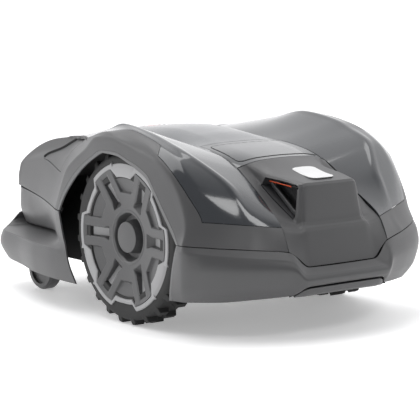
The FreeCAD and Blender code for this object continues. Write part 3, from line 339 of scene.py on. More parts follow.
def banded(rows, width):
    """Rows of points with one more beside each end row, a width away from it."""
    rows = np.asarray(rows, float)
    first = rows[0] + unit(rows[1] - rows[0]) * width
    last = rows[-1] + unit(rows[-2] - rows[-1]) * width
    return np.concatenate([rows[:1], first[None], rows[1:-1], last[None], rows[-1:]])


def rounded_lines(points, lines, reach):
    """A net with each of the lines split in two, a reach to either side of it, so that a tight rounding
    runs along where the line was."""
    points = np.asarray(points, float)
    kept = []
    for k in range(points.shape[1]):
        if k in lines:
            here = points[:, k]
            kept += [here + unit(points[:, k - 1] - here) * reach, here + unit(points[:, k + 1] - here) * reach]
        else:
            kept.append(points[:, k])
    return np.stack(kept, axis=1)


def unit(vectors):
    """Each vector divided by its length."""
    return vectors / np.maximum(np.linalg.norm(vectors, axis=-1, keepdims=True), 1e-9)


def grid_normals(grid):
    """The cross product of the grid's two slopes at each point, at unit length."""
    return unit(np.cross(np.gradient(grid, axis=0), np.gradient(grid, axis=1)))


def skin_mesh(grid, cells, depth, flip=False, seam=SEAM):
    """A wall of even depth over the chosen cells of a grid.

    The outer sheet is the grid, drawn back by half a seam at its open edges; the inner sheet is the same
    points moved along the normals; a strip of quads joins the two round every open edge.
    """
    high, wide = grid.shape[:2]
    count = np.zeros((high, wide))
    pull = np.zeros_like(grid)
    middle = (grid[:-1, :-1] + grid[1:, :-1] + grid[:-1, 1:] + grid[1:, 1:]) / 4
    for di in (0, 1):
        for dj in (0, 1):
            window = (slice(di, high - 1 + di), slice(dj, wide - 1 + dj))
            count[window] += cells
            pull[window] += np.where(cells[..., None], middle - grid[window], 0)
    edge = (count > 0) & (count < 4)
    outer = grid + np.where(edge[..., None], unit(pull) * seam * MM / 2, 0)
    normals = grid_normals(grid) * (-1 if flip else 1)
    inner = outer - normals * depth
    index = np.arange(high * wide).reshape(high, wide)
    a, b, c, d = index[:-1, :-1], index[1:, :-1], index[1:, 1:], index[:-1, 1:]
    top = np.stack([a, b, c, d], -1)[cells]
    offset = high * wide
    faces = [top, top[:, ::-1] + offset]
    padded = np.pad(cells, 1)
    here = padded[1:-1, 1:-1]
    for missing, start, end in ((~padded[:-2, 1:-1], d, a), (~padded[2:, 1:-1], b, c),
                                (~padded[1:-1, :-2], a, b), (~padded[1:-1, 2:], c, d)):
        chosen = here & missing
        s, e = start[chosen], end[chosen]
        faces.append(np.stack([e, s, s + offset, e + offset], -1))
    points = np.concatenate([outer.reshape(-1, 3), inner.reshape(-1, 3)])
    return points, np.concatenate(faces)


def tidy_mesh(points, faces):
    """Drops unused points, and turns a closed shape that is inside out."""
    used, faces = np.unique(faces, return_inverse=True)
    faces = faces.reshape(-1, 4)
    points = points[used]
    a, b, c, d = (points[faces[:, k]] for k in range(4))
    volume = np.einsum("ij,ij->", a, np.cross(b, c)) + np.einsum("ij,ij->", a, np.cross(c, d))
    return points, faces if volume > 0 else faces[:, ::-1]


def make_piece(name, points, faces, material, body, slot, replaced=(), bevel=0.35, sharp=32, weld=False):
    """Puts points and quads into a mesh object that rides on a body and stands for CAD nodes."""
    points, faces = tidy_mesh(np.asarray(points, float), np.asarray(faces))
    mesh = bpy.data.meshes.new(name)
    mesh.vertices.add(len(points))
    mesh.vertices.foreach_set("co", points.ravel())
    mesh.loops.add(faces.size)
    mesh.loops.foreach_set("vertex_index", faces.ravel())
    mesh.polygons.add(len(faces))
    mesh.polygons.foreach_set("loop_start", np.arange(len(faces)) * 4)
    mesh.polygons.foreach_set("loop_total", np.full(len(faces), 4))
    mesh.update(calc_edges=True)
    mesh.validate()
    piece = bpy.data.objects.new(name, mesh)
    bpy.context.scene.collection.objects.link(piece)
    mesh.materials.append(material)
    if weld:
        shape = bmesh.new()
        shape.from_mesh(mesh)
        bmesh.ops.remove_doubles(shape, verts=shape.verts, dist=1e-6)
        shape.to_mesh(mesh)
        shape.free()
    mesh.shade_smooth()
    mesh.set_sharp_from_angle(angle=math.radians(sharp))
    if bevel:
        rounding = piece.modifiers.new("edge_round", "BEVEL")
        rounding.width = bevel * MM
        rounding.segments = 2
        rounding.limit_method = "ANGLE"
        rounding.angle_limit = math.radians(50)
        rounding.use_clamp_overlap = True
    if replaced:
        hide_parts(*replaced)
    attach(piece, body)
    return piece


def block_cells(shape, blocks):
    """Marks the cells of a grid inside any of the blocks, each given as ((row, row), (column, column))."""
    cells = np.zeros((shape[0] - 1, shape[1] - 1), bool)
    for (top, bottom), (left, right) in blocks:
        cells[top:bottom, left:right] = True
    return cells


def at_axle(points):
    """Points in mm, with x measured from the drive axle, turned to metres in the frame."""
    return np.asarray(points, float) * MM + AXLE * [1, 0, 0]


def mirrored(grid):
    """The same points on the other side of the middle plane."""
    return grid * [1, -1, 1]


# Sections of the half body, from the nose seam round the wheel arch to the bumper seam.
# Each runs from the arch lip over the arch crease, two seam lines and the shoulder crest
# to the foot of the shoulder beside the deck.
SECTIONS = [
    [(156, 216, 150), (171, 212, 150), (221, 190, 151), (290, 163, 153), (399, 131, 157.5), (406, 70, 158.5)],
    [(143, 216, 171), (159, 212, 176), (216, 182, 174), (298, 153, 180), (399, 131, 171), (403, 70, 174)],
    [(121, 216, 195), (141, 211, 212), (213, 173, 199), (297, 148, 210), (395, 130, 190), (391, 70, 197)],
    [(98, 216, 215), (119, 211, 230), (190, 172, 228), (247, 145, 231), (350, 133, 219), (352, 70, 219)],
    [(66, 216, 235), (92, 210, 247), (160, 168, 249), (191, 148, 251), (285, 138, 241), (285, 70, 240)],
    [(38, 216, 246), (64, 210, 267), (98, 196, 264), (124, 182, 259), (200, 140, 254), (200, 71, 251)],
    [(10, 216, 245), (28, 211, 271), (42, 203, 276), (57, 190, 275), (105, 160, 272), (110, 73, 255)],
    [(-20, 216, 237), (-8, 211, 264), (0, 203, 272), (10, 188, 280), (45, 171, 285.5), (45, 75, 252)],
    [(-46, 216, 228), (-44, 211, 254), (-42, 203, 265), (-34, 190, 273.5), (-22, 174, 277.5), (-8, 76, 250)],
    [(-64, 216, 219), (-76, 210, 246), (-79, 205, 252), (-67, 190, 264), (-60, 172, 267), (-58, 79, 243)],
    [(-82, 216, 198), (-102, 210, 230), (-108, 204.5, 234), (-104, 189, 248), (-100, 169, 254), (-104, 83, 228)],
    [(-102, 216, 173), (-130, 208, 197), (-139, 199, 202), (-148, 180, 207), (-163, 136, 206), (-160, 86, 193)],
    [(-122, 216.5, 150), (-147, 210, 161), (-162, 191, 166), (-176, 168, 164), (-195, 131, 160), (-214, 92, 156)],
    [(-135, 217, 134), (-151, 219, 135), (-168, 204, 134), (-186, 180, 132), (-208, 143, 129), (-230, 93, 124)],
]
# Rows and columns of that net where the shells part.
PANEL_LOW, PANEL_HIGH, SHOULDER_FRONT, TAB, GLOSS_FOOT = 2, 4, 5, 9, 12
LOW_SEAM, HIGH_SEAM, FOOT = 4, 5, 9

# The middle strip: its highest points, row by row from the nose seam to the rear cover.
STRIP_MIDDLE = [
    (409, 158), (406, 174), (394, 199), (352, 224), (285, 246), (200, 262), (110, 269), (45, 264),
    (-10, 254), (-61, 247), (-111, 239),
]
HATCH_FRONT, HATCH_REAR, DECK_REAR = 4, 8, 10

# Rear cover: from the flank inwards over the hand recess and the handle block to the middle. Each line runs
# from the deck over the block's top, down its face to a ledge and on to the bumper.
COVER = [
    [(-104.6, 82.5, 228), (-134, 84, 210), (-162, 85.5, 192), (-192, 88, 170), (-207, 90.5, 160),
     (-215, 91.5, 153), (-230, 92.5, 124)],
    [(-106.9, 72, 231.5), (-136, 66, 206), (-160, 65.5, 190), (-207, 63.5, 162), (-213, 64, 156),
     (-221, 66, 150), (-233, 78, 114)],
    [(-107.5, 69, 232.7), (-139, 60, 216.5), (-167, 57.5, 214.5), (-204.5, 52.5, 210), (-214.5, 56, 158),
     (-222.5, 60, 151), (-235.5, 65, 103)],
    [(-108, 66, 233.5), (-138, 57, 221), (-167, 54, 218.5), (-208, 48, 211.5), (-217, 51, 158),
     (-223.5, 54, 151), (-236, 59, 101)],
    [(-110.7, 40, 237.8), (-138, 42, 227.5), (-168, 42, 220.5), (-209, 42, 213), (-217.5, 42, 157.5),
     (-224, 44, 151), (-236.5, 45, 101)],
    [(-111.5, 0, 239), (-138, 0, 231), (-170, 0, 222), (-210, 0, 213), (-218, 0, 157), (-225, 0, 151),
     (-237, 0, 101)],
]
HAND_OPENING = ((1, 2), (1, 3))
# How many fine cells each cell of the cover's net takes, by row and by column.
COVER_FINE = (12, 10)

# Rear bumper: from the wheel arch round the corner to the middle, top edge to bottom edge.
BUMPER = [
    [(-135.5, 216, 133.4), (-133, 217, 124), (-127, 217, 102), (-121, 216, 76), (-114, 212, 53)],
    [(-151, 218, 134.4), (-152, 221, 126), (-152, 221, 104), (-148, 218, 78), (-137, 207, 53)],
    [(-168, 203, 133.4), (-172, 208, 124), (-175, 209, 104), (-172, 204, 78), (-160, 192, 54)],
    [(-186, 179, 131.4), (-192, 184, 121), (-196, 185, 102), (-194, 180, 78), (-182, 170, 55)],
    [(-208, 142, 128.4), (-215, 145, 117), (-219, 146, 100), (-217, 142, 80), (-206, 134, 58)],
    [(-230, 93, 123.4), (-238, 95, 111), (-242, 96, 98), (-240, 92, 78), (-230, 88, 62)],
    [(-237, 60, 100.4), (-250, 72, 91), (-253, 74, 85), (-252, 72, 80), (-246, 66, 75)],
    [(-238, 0, 100), (-254, 0, 91), (-256, 0, 85), (-255, 0, 81), (-249, 0, 76)],
]
INSERT = [
    [(-230.2, 83.8, 59.6), (-228, 80.5, 58.6), (-224, 77, 58)],
    [(-244.6, 64.6, 72.4), (-242.4, 63.6, 65), (-234, 62.6, 59.4)],
    [(-248, 0, 73.4), (-245.4, 0, 66), (-236, 0, 60.4)],
]

# Side skirt and caster pod: from the wheel arch forward to the nose. Each line runs from the nose seam down
# the flank to its lower edge, into the notch, over the top of the pod and down to the bottom edge.
SKIRT = [
    [(156, 216, 149), (147, 217, 124), (141, 218, 110), (138, 218, 104), (135, 218.5, 98), (132, 219, 90),
     (124, 220, 72), (107, 219, 45)],
    [(172, 211, 149), (166, 212, 122), (162, 212, 110), (160, 212, 104), (163, 215, 97), (170, 220, 91),
     (168, 221, 72), (150, 219, 45)],
    [(221, 189.5, 150), (217, 187, 124), (214, 184, 110), (213, 180, 103), (216, 190, 98), (225, 214, 91),
     (226, 216, 72), (222, 212, 45)],
    [(290, 162.5, 152), (289, 158, 126), (285, 152, 102), (283, 143, 99.5), (287, 148, 97.5), (300, 195, 91),
     (302, 197, 72), (297, 192, 46)],
    [(350, 145, 154.5), (349, 147, 128), (343, 141, 100), (338, 132, 98), (343, 138, 96.5), (366, 181, 91),
     (370, 183, 72), (362, 174, 46)],
    [(388, 134, 156), (390, 134, 128), (390, 123, 97), (384, 113, 96), (390, 124, 95), (393, 163, 91),
     (396, 168, 71), (384, 160, 43)],
    [(402, 116, 157), (403, 118, 130), (403, 112, 112), (401, 108, 111), (405, 124, 111), (404, 147, 92),
     (407, 146, 71), (394, 141, 48)],
    [(405, 92, 157.5), (403, 90, 130), (395, 88, 112), (389, 86, 110), (391, 90, 107), (402, 108, 93),
     (404, 107, 72), (394, 105, 50)],
    [(406, 71, 157.5), (399, 71, 130), (363, 71, 112), (356, 71, 110), (356, 72, 105), (368, 76, 91),
     (368, 74, 72), (362, 74, 50)],
]
APRON = [
    [(406, 70, 157.5), (399, 70, 130), (356, 70, 110), (350, 70, 91), (348, 70, 72), (346, 70, 52)],
    [(409, 0, 157.5), (402, 0, 130), (360, 0, 110), (352, 0, 91), (350, 0, 72), (348, 0, 52)],
]


def body_net():
    """The half body: each section's six points grown to eleven.

    A band lies along the arch lip, whose edge is drawn in by the tuck towards the wheel. A rounding as wide
    as crest_width lies on each side of the shoulder crest, narrower where the crest stands low, and a point
    on the straight line to the foot keeps the slope behind it even.
    """
    band, crest_width, tuck = 6.0, 12.0, 1.2
    lip, crease, low, high, crest, foot = np.moveaxis(np.array(SECTIONS, float), 1, 0)
    rise = np.linalg.norm(high - crest, axis=1, keepdims=True)
    before = crest + unit(high - crest) * np.minimum(crest_width, rise * 0.45)
    behind = crest + unit(foot - crest) * crest_width
    hollow = crest + (foot - crest) * 0.55
    edge = lip + unit(crease - lip) * band
    columns = [lip - [0, tuck, 0], edge, lip + (crease - lip) * 0.7, crease, low, high, before, crest, behind,
               hollow, foot]
    return np.stack(columns, axis=1)


def strip_net():
    """The middle strip: it rises from the foot of each shoulder to the middle by one minus the cube of the share."""
    count = len(STRIP_MIDDLE)
    foot = np.array(SECTIONS, float)[:count, -1]
    crown = np.array(STRIP_MIDDLE, float)
    share = np.array([1.0, 0.88, 0.5, 0.0, -0.5, -0.88, -1.0])
    rise = 1 - np.abs(share) ** 3
    x = foot[:, :1] + (crown[:, :1] - foot[:, :1]) * rise
    z = foot[:, 2:] + (crown[:, 1:] - foot[:, 2:]) * rise
    return np.stack([x, foot[:, 1:2] * share, z], axis=-1)


def full_width(half_rows):
    """Rows from the left side to the middle, followed by their mirror images back out to the right."""
    left = np.array(half_rows, float)
    return np.concatenate([left, left[-2::-1] * [1, -1, 1]])


SLOTS = {entry["node"]: entry["material_slot"] for entry in frame["record"]["subparts"]}
BODY_OF = {node: body for body, nodes in frame["record"]["behaviour"]["bodies"].items() for node in nodes}


def stand_for(node, mesh_parts, name=None, material=None, **settings):
    """A piece that takes the place and body of the CAD node it is named for, and unless told otherwise the finish of
    that node's slot.
    """
    points, faces = mesh_parts
    return make_piece(name or f"{node}_skin", points, faces, material or FINISHES[SLOTS[node]], BODY_OF[node],
                      SLOTS[node], (node,), **settings)


def scaled(blocks, samples):
    """Blocks of a coarse net's cells, in the cells of the fine grid made from it."""
    return [((a * samples[0], b * samples[0]), (c * samples[1], d * samples[1])) for (a, b), (c, d) in blocks]


def make_side_panels():
    """The matt side shell, the glossy shoulder and the inset panel, cut from one body surface."""
    samples = (10, 10)
    grid = at_axle(fine_grid(body_net(), samples, column_breaks=(1,)))
    shoulder = [((SHOULDER_FRONT, GLOSS_FOOT), (HIGH_SEAM, FOOT + 1)), ((TAB, GLOSS_FOOT), (LOW_SEAM, HIGH_SEAM))]
    inset = [((PANEL_LOW, PANEL_HIGH), (LOW_SEAM, HIGH_SEAM))]
    glossy = block_cells(grid.shape, scaled(shoulder, samples))
    inset_cells = block_cells(grid.shape, scaled(inset, samples))
    lip_cells = block_cells(grid.shape, scaled([((0, len(SECTIONS) - 1), (0, 1))], samples))
    for side, name in SIDES:
        here = grid if side == 1 else mirrored(grid)
        for node, cells in (("side_shell", ~(glossy | inset_cells | lip_cells)), ("shoulder_shell", glossy),
                            ("shoulder_inset", inset_cells)):
            stand_for(f"{node}_{name}", skin_mesh(here, cells, SKIN * MM, flip=side == -1))
        # The arch lip's paler grey is a painted highlight on its chamfer.
        make_piece(f"arch_lip_{name}", *skin_mesh(here, lip_cells, SKIN * MM, flip=side == -1, seam=0), LIP_GREY_PAINTED_HIGHLIGHT,
                   "body_shell", "body_matte")


def make_middle_strip():
    """Nose cap, hatch and rear deck: one crowned strip parted at two cross seams."""
    samples = (16, 12)
    grid = at_axle(fine_grid(strip_net(), samples))
    wide = len(strip_net()[0]) - 1
    for node, start, end in (("nose_cap", 0, HATCH_FRONT), ("rear_deck", HATCH_REAR, DECK_REAR)):
        cells = block_cells(grid.shape, scaled([((start, end), (0, wide))], samples))
        stand_for(node, skin_mesh(grid, cells, SKIN * MM))
    cells = block_cells(grid.shape, scaled([((HATCH_FRONT, HATCH_REAR), (0, wide))], samples))
    button_low, button_high = (np.array(corner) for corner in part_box("stop_button"))
    centre = (button_low + button_high)[:2] / 2
    radius = (button_high - button_low)[0] / 2 + 0.5 * MM
    open_grid, open_cells = round_opening(grid, cells, centre, radius)
    # The hatch wears the paler graphite: a painted highlight.
    stand_for("hatch", skin_mesh(open_grid, open_cells, SKIN * MM), material=HATCH_GLOSS_PAINTED_HIGHLIGHT)


def round_opening(grid, cells, centre, radius):
    """Cuts a round hole seen from above: cells whose middle is inside go, and the ring of points left at
    its edge moves out or in to the circle, along with a share of the points beside it."""
    middle = (grid[:-1, :-1] + grid[1:, 1:])[..., :2] / 2
    gone = np.linalg.norm(middle - centre, axis=-1) < radius
    touch = np.zeros(grid.shape[:2])
    for di in (0, 1):
        for dj in (0, 1):
            touch[di:touch.shape[0] - 1 + di, dj:touch.shape[1] - 1 + dj] += gone
    rim = (touch > 0) & (touch < 4)
    offset = grid[..., :2] - centre
    reach = np.linalg.norm(offset, axis=-1, keepdims=True)
    moved = grid.copy()
    moved[..., :2] = np.where(rim[..., None], centre + offset / np.maximum(reach, 1e-9) * radius, grid[..., :2])
    return moved, cells & ~gone


def whole(grid):
    """Every cell of a grid marked."""
    return np.ones((grid.shape[0] - 1, grid.shape[1] - 1), bool)


def cover_grid():
    """The rear cover's surface, with tight roundings along the block's rear edge, its foot and the ledge."""
    return at_axle(fine_grid(rounded_lines(full_width(COVER), (3, 4, 5), 2.8), COVER_FINE,
                              column_breaks=(3, 4, 5, 6, 7, 8)))


def opening_blocks():
    """Where the two hand openings lie in the cover's fine grid: rows and columns of its cells."""
    (low, high), (start, end) = HAND_OPENING
    last = 2 * len(COVER) - 2
    return scaled([((low, high), (start, end)), ((last - high, last - low), (start, end))], COVER_FINE)


def make_rear():
    """Rear cover with its two hand openings, the bumper with its lips and insert, the apron and the skirts.

    The bumper stands 0.03 mm forward, which keeps it inside the frame's box."""
    cover = cover_grid()
    stand_for("rear_cover", skin_mesh(cover, ~block_cells(cover.shape, opening_blocks()), SKIN * MM, flip=True))
    bumper = at_axle(fine_grid(rounded_lines(banded(full_width(BUMPER), 5), (1,), 1.6), (12, 12),
                              row_breaks=(1, 2 * len(BUMPER) - 1), column_breaks=(1, 2)))
    bumper[..., 0] += 0.03 * MM
    cells = whole(bumper)
    for band, name in ((slice(0, 12), "left"), (slice(-12, None), "right")):
        lip_cells = np.zeros_like(cells)
        lip_cells[band] = True
        cells &= ~lip_cells
        # The bumper lips' paler grey is a painted highlight on their chamfer.
        make_piece(f"bumper_lip_{name}", *skin_mesh(bumper, lip_cells, SKIN * MM, flip=True, seam=0), LIP_GREY_PAINTED_HIGHLIGHT,
                   "body_shell", "body_matte")
    stand_for("rear_bumper", skin_mesh(bumper, cells, SKIN * MM, flip=True))
    insert = at_axle(fine_grid(full_width(INSERT), (14, 8)))
    stand_for("bumper_insert", skin_mesh(insert, whole(insert), SKIN * MM, flip=True))
    apron = at_axle(fine_grid(full_width(APRON), (20, 8)))
    stand_for("nose_apron", skin_mesh(apron, whole(apron), SKIN * MM))
    skirt = at_axle(fine_grid(rounded_lines(SKIRT, (2, 5), 1.5), (14, 8), column_breaks=(2, 3, 6, 7)))
    for side, name in SIDES:
        here = skirt if side == 1 else mirrored(skirt)
        stand_for(f"side_skirt_{name}", skin_mesh(here, whole(here), SKIN * MM, flip=side == -1))


def bar_mesh(path, half_width, half_height, up, squareness=4.0, around=24):
    """A bar: a rounded-rectangle outline (a superellipse) carried along a path of points, and shrunk at
    both ends so that they are round and closed."""
    path = np.asarray(path, float)
    along = unit(np.gradient(path, axis=0))
    across = unit(np.cross(along, up))
    over = np.cross(across, along)
    run = np.concatenate([[0], np.cumsum(np.linalg.norm(np.diff(path, axis=0), axis=1))])
    reach = np.minimum(run, run[-1] - run) / max(half_width, 1e-9)
    shrink = np.sqrt(np.clip(1 - (1 - np.clip(reach, 0, 1)) ** 2, 1e-4, 1))[:, None, None]
    turn = np.linspace(0, 2 * np.pi, around, endpoint=False)
    x = np.sign(np.cos(turn)) * np.abs(np.cos(turn)) ** (2 / squareness) * half_width
    z = np.sign(np.sin(turn)) * np.abs(np.sin(turn)) ** (2 / squareness) * half_height
    ring = across[:, None] * x[None, :, None] + over[:, None] * z[None, :, None]
    grid = path[:, None] + ring * shrink
    ends = np.repeat(grid[[0, -1]].mean(axis=1, keepdims=True), around, axis=1)
    grid = np.concatenate([ends[:1], grid, ends[1:]])
    return loop_mesh(grid, close_rows=False)


def eased_path(start, end, count=24, bow=(0, 0, 0)):
    """Points from start to end, closer together near the ends, bowed by a parabola in the middle."""
    share = (1 - np.cos(np.linspace(0, np.pi, count)))[:, None] / 2
    start, end, bow = (np.asarray(v, float) for v in (start, end, bow))
    return start + (end - start) * share + bow * 4 * share * (1 - share)


def make_hand_recesses():
    """Behind each hand opening a dark pocket: the opening's edge carried inwards and drawn together to a floor.
    A rib crosses it, an orange strip runs under its top edge, a small catch ends the strip and a peg stands
    by its front corner."""
    cover = cover_grid()
    node = "grip_liners"
    pocket_depth, liner_wall, taper = 24 * MM, 1.2 * MM, 0.24
    for (side, name), ((low, high), (start, end)) in zip(SIDES, opening_blocks()):
        window = cover[low:high + 1, start:end + 1]
        if side == -1:
            window = window[::-1]
        edge = np.concatenate([window[0, :-1], window[:-1, -1], window[-1, :0:-1], window[:0:-1, 0]])
        middle = edge.mean(axis=0)
        drawn = []
        for share in (0.04, 0.1, 0.3, 0.5, 0.7, 0.85, 0.94, 1.0):
            ring = middle + (edge - middle) * (1 - taper * share ** 3)
            ring[:, 1] -= side * pocket_depth * share + (ring[:, 1] - middle[1]) * 0.5 * share
            drawn.append(ring)
        floor_edge, floor_middle = drawn[-1], drawn[-1].mean(axis=0)
        drawn += [floor_middle + (floor_edge - floor_middle) * share for share in (0.75, 0.5, 0.25, 0.0)]
        grid = np.stack(drawn)
        shell_out, faces = loop_mesh(grid, close_rows=False)
        back = grid + unit(grid - middle) * [liner_wall, 0, liner_wall] - [0, side * liner_wall, 0]
        count = len(shell_out)
        points = np.concatenate([shell_out, back.reshape(-1, 3)])
        wide = grid.shape[1]
        first = np.arange(wide)
        lip = np.stack([first, np.roll(first, -1), np.roll(first, -1) + count, first + count], -1)
        make_piece(f"hand_recess_{name}", points, np.concatenate([faces, faces[:, ::-1] + count, lip]),
                   RECESS_LINER, BODY_OF[node], SLOTS[node], (node,), bevel=0, weld=True)
        low_end, top_end = [at_axle((x, side * y, z)) for x, y, z in ((-202, 55, 169), (-143, 52, 209))]
        make_piece(f"recess_rib_{name}", *bar_mesh(eased_path(low_end, top_end), 3.0 * MM, 1.8 * MM, (0, side, 0)),
                   GRAINED_SHELL, BODY_OF[node], SLOTS[node], bevel=0)
        strip_end, strip_start = [at_axle((x, side * y, z)) for x, y, z in ((-190, 54.5, 207.6), (-146, 58, 212))]
        make_piece(f"grip_strip_{name}", *bar_mesh(eased_path(strip_start, strip_end), 0.9 * MM, 0.8 * MM,
                                                   (0, 0, 1)),
                   FINISHES[SLOTS["grip_strips"]], BODY_OF["grip_strips"], SLOTS["grip_strips"], ("grip_strips",),
                   bevel=0)
        catch_end = at_axle((-204, side * 52, 206.5))
        make_piece(f"grip_catch_{name}", *bar_mesh(eased_path(strip_end, catch_end, 12), 2.4 * MM, 1.6 * MM,
                                                   (0, 0, 1)),
                   FINISHES[SLOTS[node]], BODY_OF[node], SLOTS[node], bevel=0)
        knob_low, knob_high = [at_axle((x, side * y, z)) for x, y, z in ((-131, 69.5, 206), (-137, 68.5, 203.5))]
        make_piece(f"cover_peg_{name}", *bar_mesh(eased_path(knob_low, knob_high, 14), 2.4 * MM, 2.0 * MM,
                                                  (0, side, 0), 2.0),
                   FINISHES[SLOTS["rear_cover"]], BODY_OF[node], SLOTS["rear_cover"], bevel=0)


def rounded_patch(points, rows, columns, lift, depth, corner=0.16, steps=(24, 40)):
    """A slab on part of a smooth net, from rows[0] to rows[1] and columns[0] to columns[1], with rounded
    corners: near its ends its width shrinks by a quarter circle."""
    along = np.linspace(-1, 1, steps[0] + 1)
    end = np.clip((np.abs(along) - (1 - corner)) / corner, 0, 1)
    width = 1 - corner * 0.55 * (1 - np.sqrt(1 - end ** 2))
    row_at = (rows[0] + rows[1]) / 2 + along * (rows[1] - rows[0]) / 2
    lines = smooth_through(np.asarray(points, float), row_at)
    patch = []
    for k in range(len(along)):
        across = np.linspace(-1, 1, steps[1] + 1) * width[k]
        column_at = (columns[0] + columns[1]) / 2 + across * (columns[1] - columns[0]) / 2
        patch.append(smooth_through(lines[k], column_at))
    patch = at_axle(np.stack(patch))
    normal = grid_normals(patch)
    normal *= np.sign(normal[..., 2:])
    return slab_mesh(np.stack([patch + normal * lift * MM, patch + normal * (lift - depth) * MM]))


PLATE_SPAN = (0.85, 5.35)


def make_plates():
    """A blank name plate on the rear deck, ringed by a dark rubber band that is painted shade for the seam round it,
    and a plain white inlay on the handle block.
    """
    strip = strip_net()
    front, rear = HATCH_REAR + 0.22, DECK_REAR - 0.2
    inside = PLATE_SPAN[0] + 0.05, PLATE_SPAN[1] - 0.05
    # Dark ring round the plate: painted shade for the shadowed seam.
    make_piece("plate_seam_painted_shade", *rounded_patch(strip, (front, rear), PLATE_SPAN, 0.35, 0.9, 0.34),
               SOFT_RUBBER, "body_shell", "rubber", bevel=0)
    stand_for("name_plate", rounded_patch(strip, (front + 0.03, rear - 0.03), inside, 0.7, 1.1, 0.32), bevel=0.2)
    make_piece("block_inlay", *rounded_patch(full_width(COVER), (4.55, 5.45), (1.35, 2.6), 0.35, 0.8, corner=0.5),
               WHITE_INLAY, "body_shell", "ring_grey", bevel=0)


def make_inset_edge_shades():
    """A dark raised bar along the upper edge of each inset panel: painted shade for the shadow line along that edge.
    """
    net = body_net()
    for side, name in SIDES:
        rows = np.linspace(PANEL_LOW + 0.05, PANEL_HIGH - 0.25, 30)
        line = smooth_through(net, rows)[:, HIGH_SEAM] * [1, side, 1]
        path = at_axle(line + np.array([0, 0, 0.9]))
        # Black bar: a painted shadow line at the panel's edge.
        make_piece(f"inset_edge_shade_{name}", *bar_mesh(path, 1.6 * MM, 1.9 * MM, (0.2, 0.3 * side, 1)),
                   BLACK_NYLON, "body_shell", "black_plastic", bevel=0)


FLANGE_WIDTH = 10 * MM
FLANGE_BEYOND = 0.4 * FLANGE_WIDTH
INSIDE = np.array([0.0, 0.0, 130.0]) * MM


def seam_ribbon(name, grid, gaps=(3.4, 4.6)):
    """A flange behind the seam along a grid's first column, a little longer than the seam at both ends, with
    its two faces the gaps below the shell's face."""
    before = grid[:1] - unit(grid[1:2] - grid[:1]) * FLANGE_BEYOND
    after = grid[-1:] - unit(grid[-2:-1] - grid[-1:]) * FLANGE_BEYOND
    grid = np.concatenate([before, grid, after])
    line, across = grid[:, 0], unit(grid[:, 3] - grid[:, 0])
    inward = unit(np.cross(np.gradient(line, axis=0), across))
    inward *= np.sign(np.sum(inward * (INSIDE - line)))
    sheets = [[line + across * FLANGE_WIDTH * share + inward * gap * MM for share in (-0.5, 0, 0.5)] for gap in gaps]
    make_piece(name, *slab_mesh(np.array(sheets)), BLACK_NYLON, "body_shell", "black_plastic", bevel=0)


def make_seam_backs():
    """Black flanges behind the shell's seams, as the real shells overlap there and let no light through."""
    side = at_axle(fine_grid(body_net(), (6, 6), column_breaks=(1,)))
    cover, strip = cover_grid(), at_axle(fine_grid(strip_net(), (6, 8)))
    insert = at_axle(fine_grid(full_width(INSERT), (8, 8)))
    seam_ribbon("cover_top_seam_back", cover)
    seam_ribbon("insert_seam_back", insert)
    seam_ribbon("cover_foot_seam_back", cover[:, ::-1])
    for sign, name in SIDES:
        turned = side if sign == 1 else mirrored(side)
        seam_ribbon(f"rear_seam_back_{name}", turned[::-1, 1:].swapaxes(0, 1))
        seam_ribbon(f"nose_seam_back_{name}", turned[:, 1:].swapaxes(0, 1))
        flank = (cover if sign == 1 else cover[::-1]).swapaxes(0, 1)
        seam_ribbon(f"cover_seam_back_{name}", flank)
        seam_ribbon(f"deck_seam_back_{name}", strip[6 * HATCH_REAR:, ::sign], (2.7, 3.3))


def make_well_wall():
    """The chassis side that closes the wheel arch in front of each drive wheel, leaning with the nose: a sheet
    whose length grows and whose height falls evenly along it, hollowed by the product of two half sines."""
    start, length, foot, height, outward = 150, 119, 57, 139, 131
    lean, fall, sag, wall = 19, 12, 3, 3.0
    rows = np.linspace(0, 1, 14)[:, None]
    columns = np.linspace(0, 1, 10)[None, :]
    x = start + (length + lean * rows) * columns
    z = foot + (height - fall * columns) * rows
    hollow = sag * np.sin(np.pi * rows) * np.sin(np.pi * columns)
    for side, name in SIDES:
        sheet = np.stack([x, side * (outward - hollow), z], -1)
        back = sheet - [0, side * wall, 0]
        make_piece(f"well_wall_{name}", *slab_mesh(np.stack([at_axle(sheet), at_axle(back)])), BLACK_NYLON, "chassis",
                   "black_plastic", bevel=0.6)


def loop_mesh(grid, close_rows=True, close_columns=True):
    """Quads over a grid of points that may run round and meet itself along either axis."""
    high, wide = grid.shape[:2]
    index = np.arange(high * wide).reshape(high, wide)
    if close_rows:
        index = np.concatenate([index, index[:1]])
    if close_columns:
        index = np.concatenate([index, index[:, :1]], axis=1)
    faces = np.stack([index[:-1, :-1], index[1:, :-1], index[1:, 1:], index[:-1, 1:]], -1)
    return grid.reshape(-1, 3), faces.reshape(-1, 4)


def round_axle(radius, turn, outward, side):
    """Points at a radius and a turn from 12 o'clock about the drive axle, outward from the middle plane, in mm."""
    radius, turn, outward = np.broadcast_arrays(radius, turn, outward)
    x = -radius * np.sin(turn)
    z = radius * np.cos(turn)
    return np.stack([x, side * outward, z], -1) * MM + AXLE


def eased(values):
    """Nothing below 0, one above 1, and a smooth step of three squares less two cubes between."""
    share = np.clip(values, 0, 1)
    return share * share * (3 - 2 * share)


def from_lobe(turn):
    """Degrees from the nearest of the three lobes, which stand at 12, 4 and 8 o'clock."""
    return np.abs((np.degrees(turn) + 60) % 120 - 60)


def ring_inner(turn):
    """The ring's inner radius: straight steps between the radii at the lobe, its flanks and the notch."""
    return np.interp(from_lobe(turn), [0, 11, 18, 43, 47, 60], [87, 87, 100, 100, 89, 88.5])


def ring_outer(turn):
    """The ring's outer radius, in the same way."""
    return np.interp(from_lobe(turn), [0, 13, 17.5, 43, 47, 60], [113, 113, 107.5, 107.5, 97, 95.5])


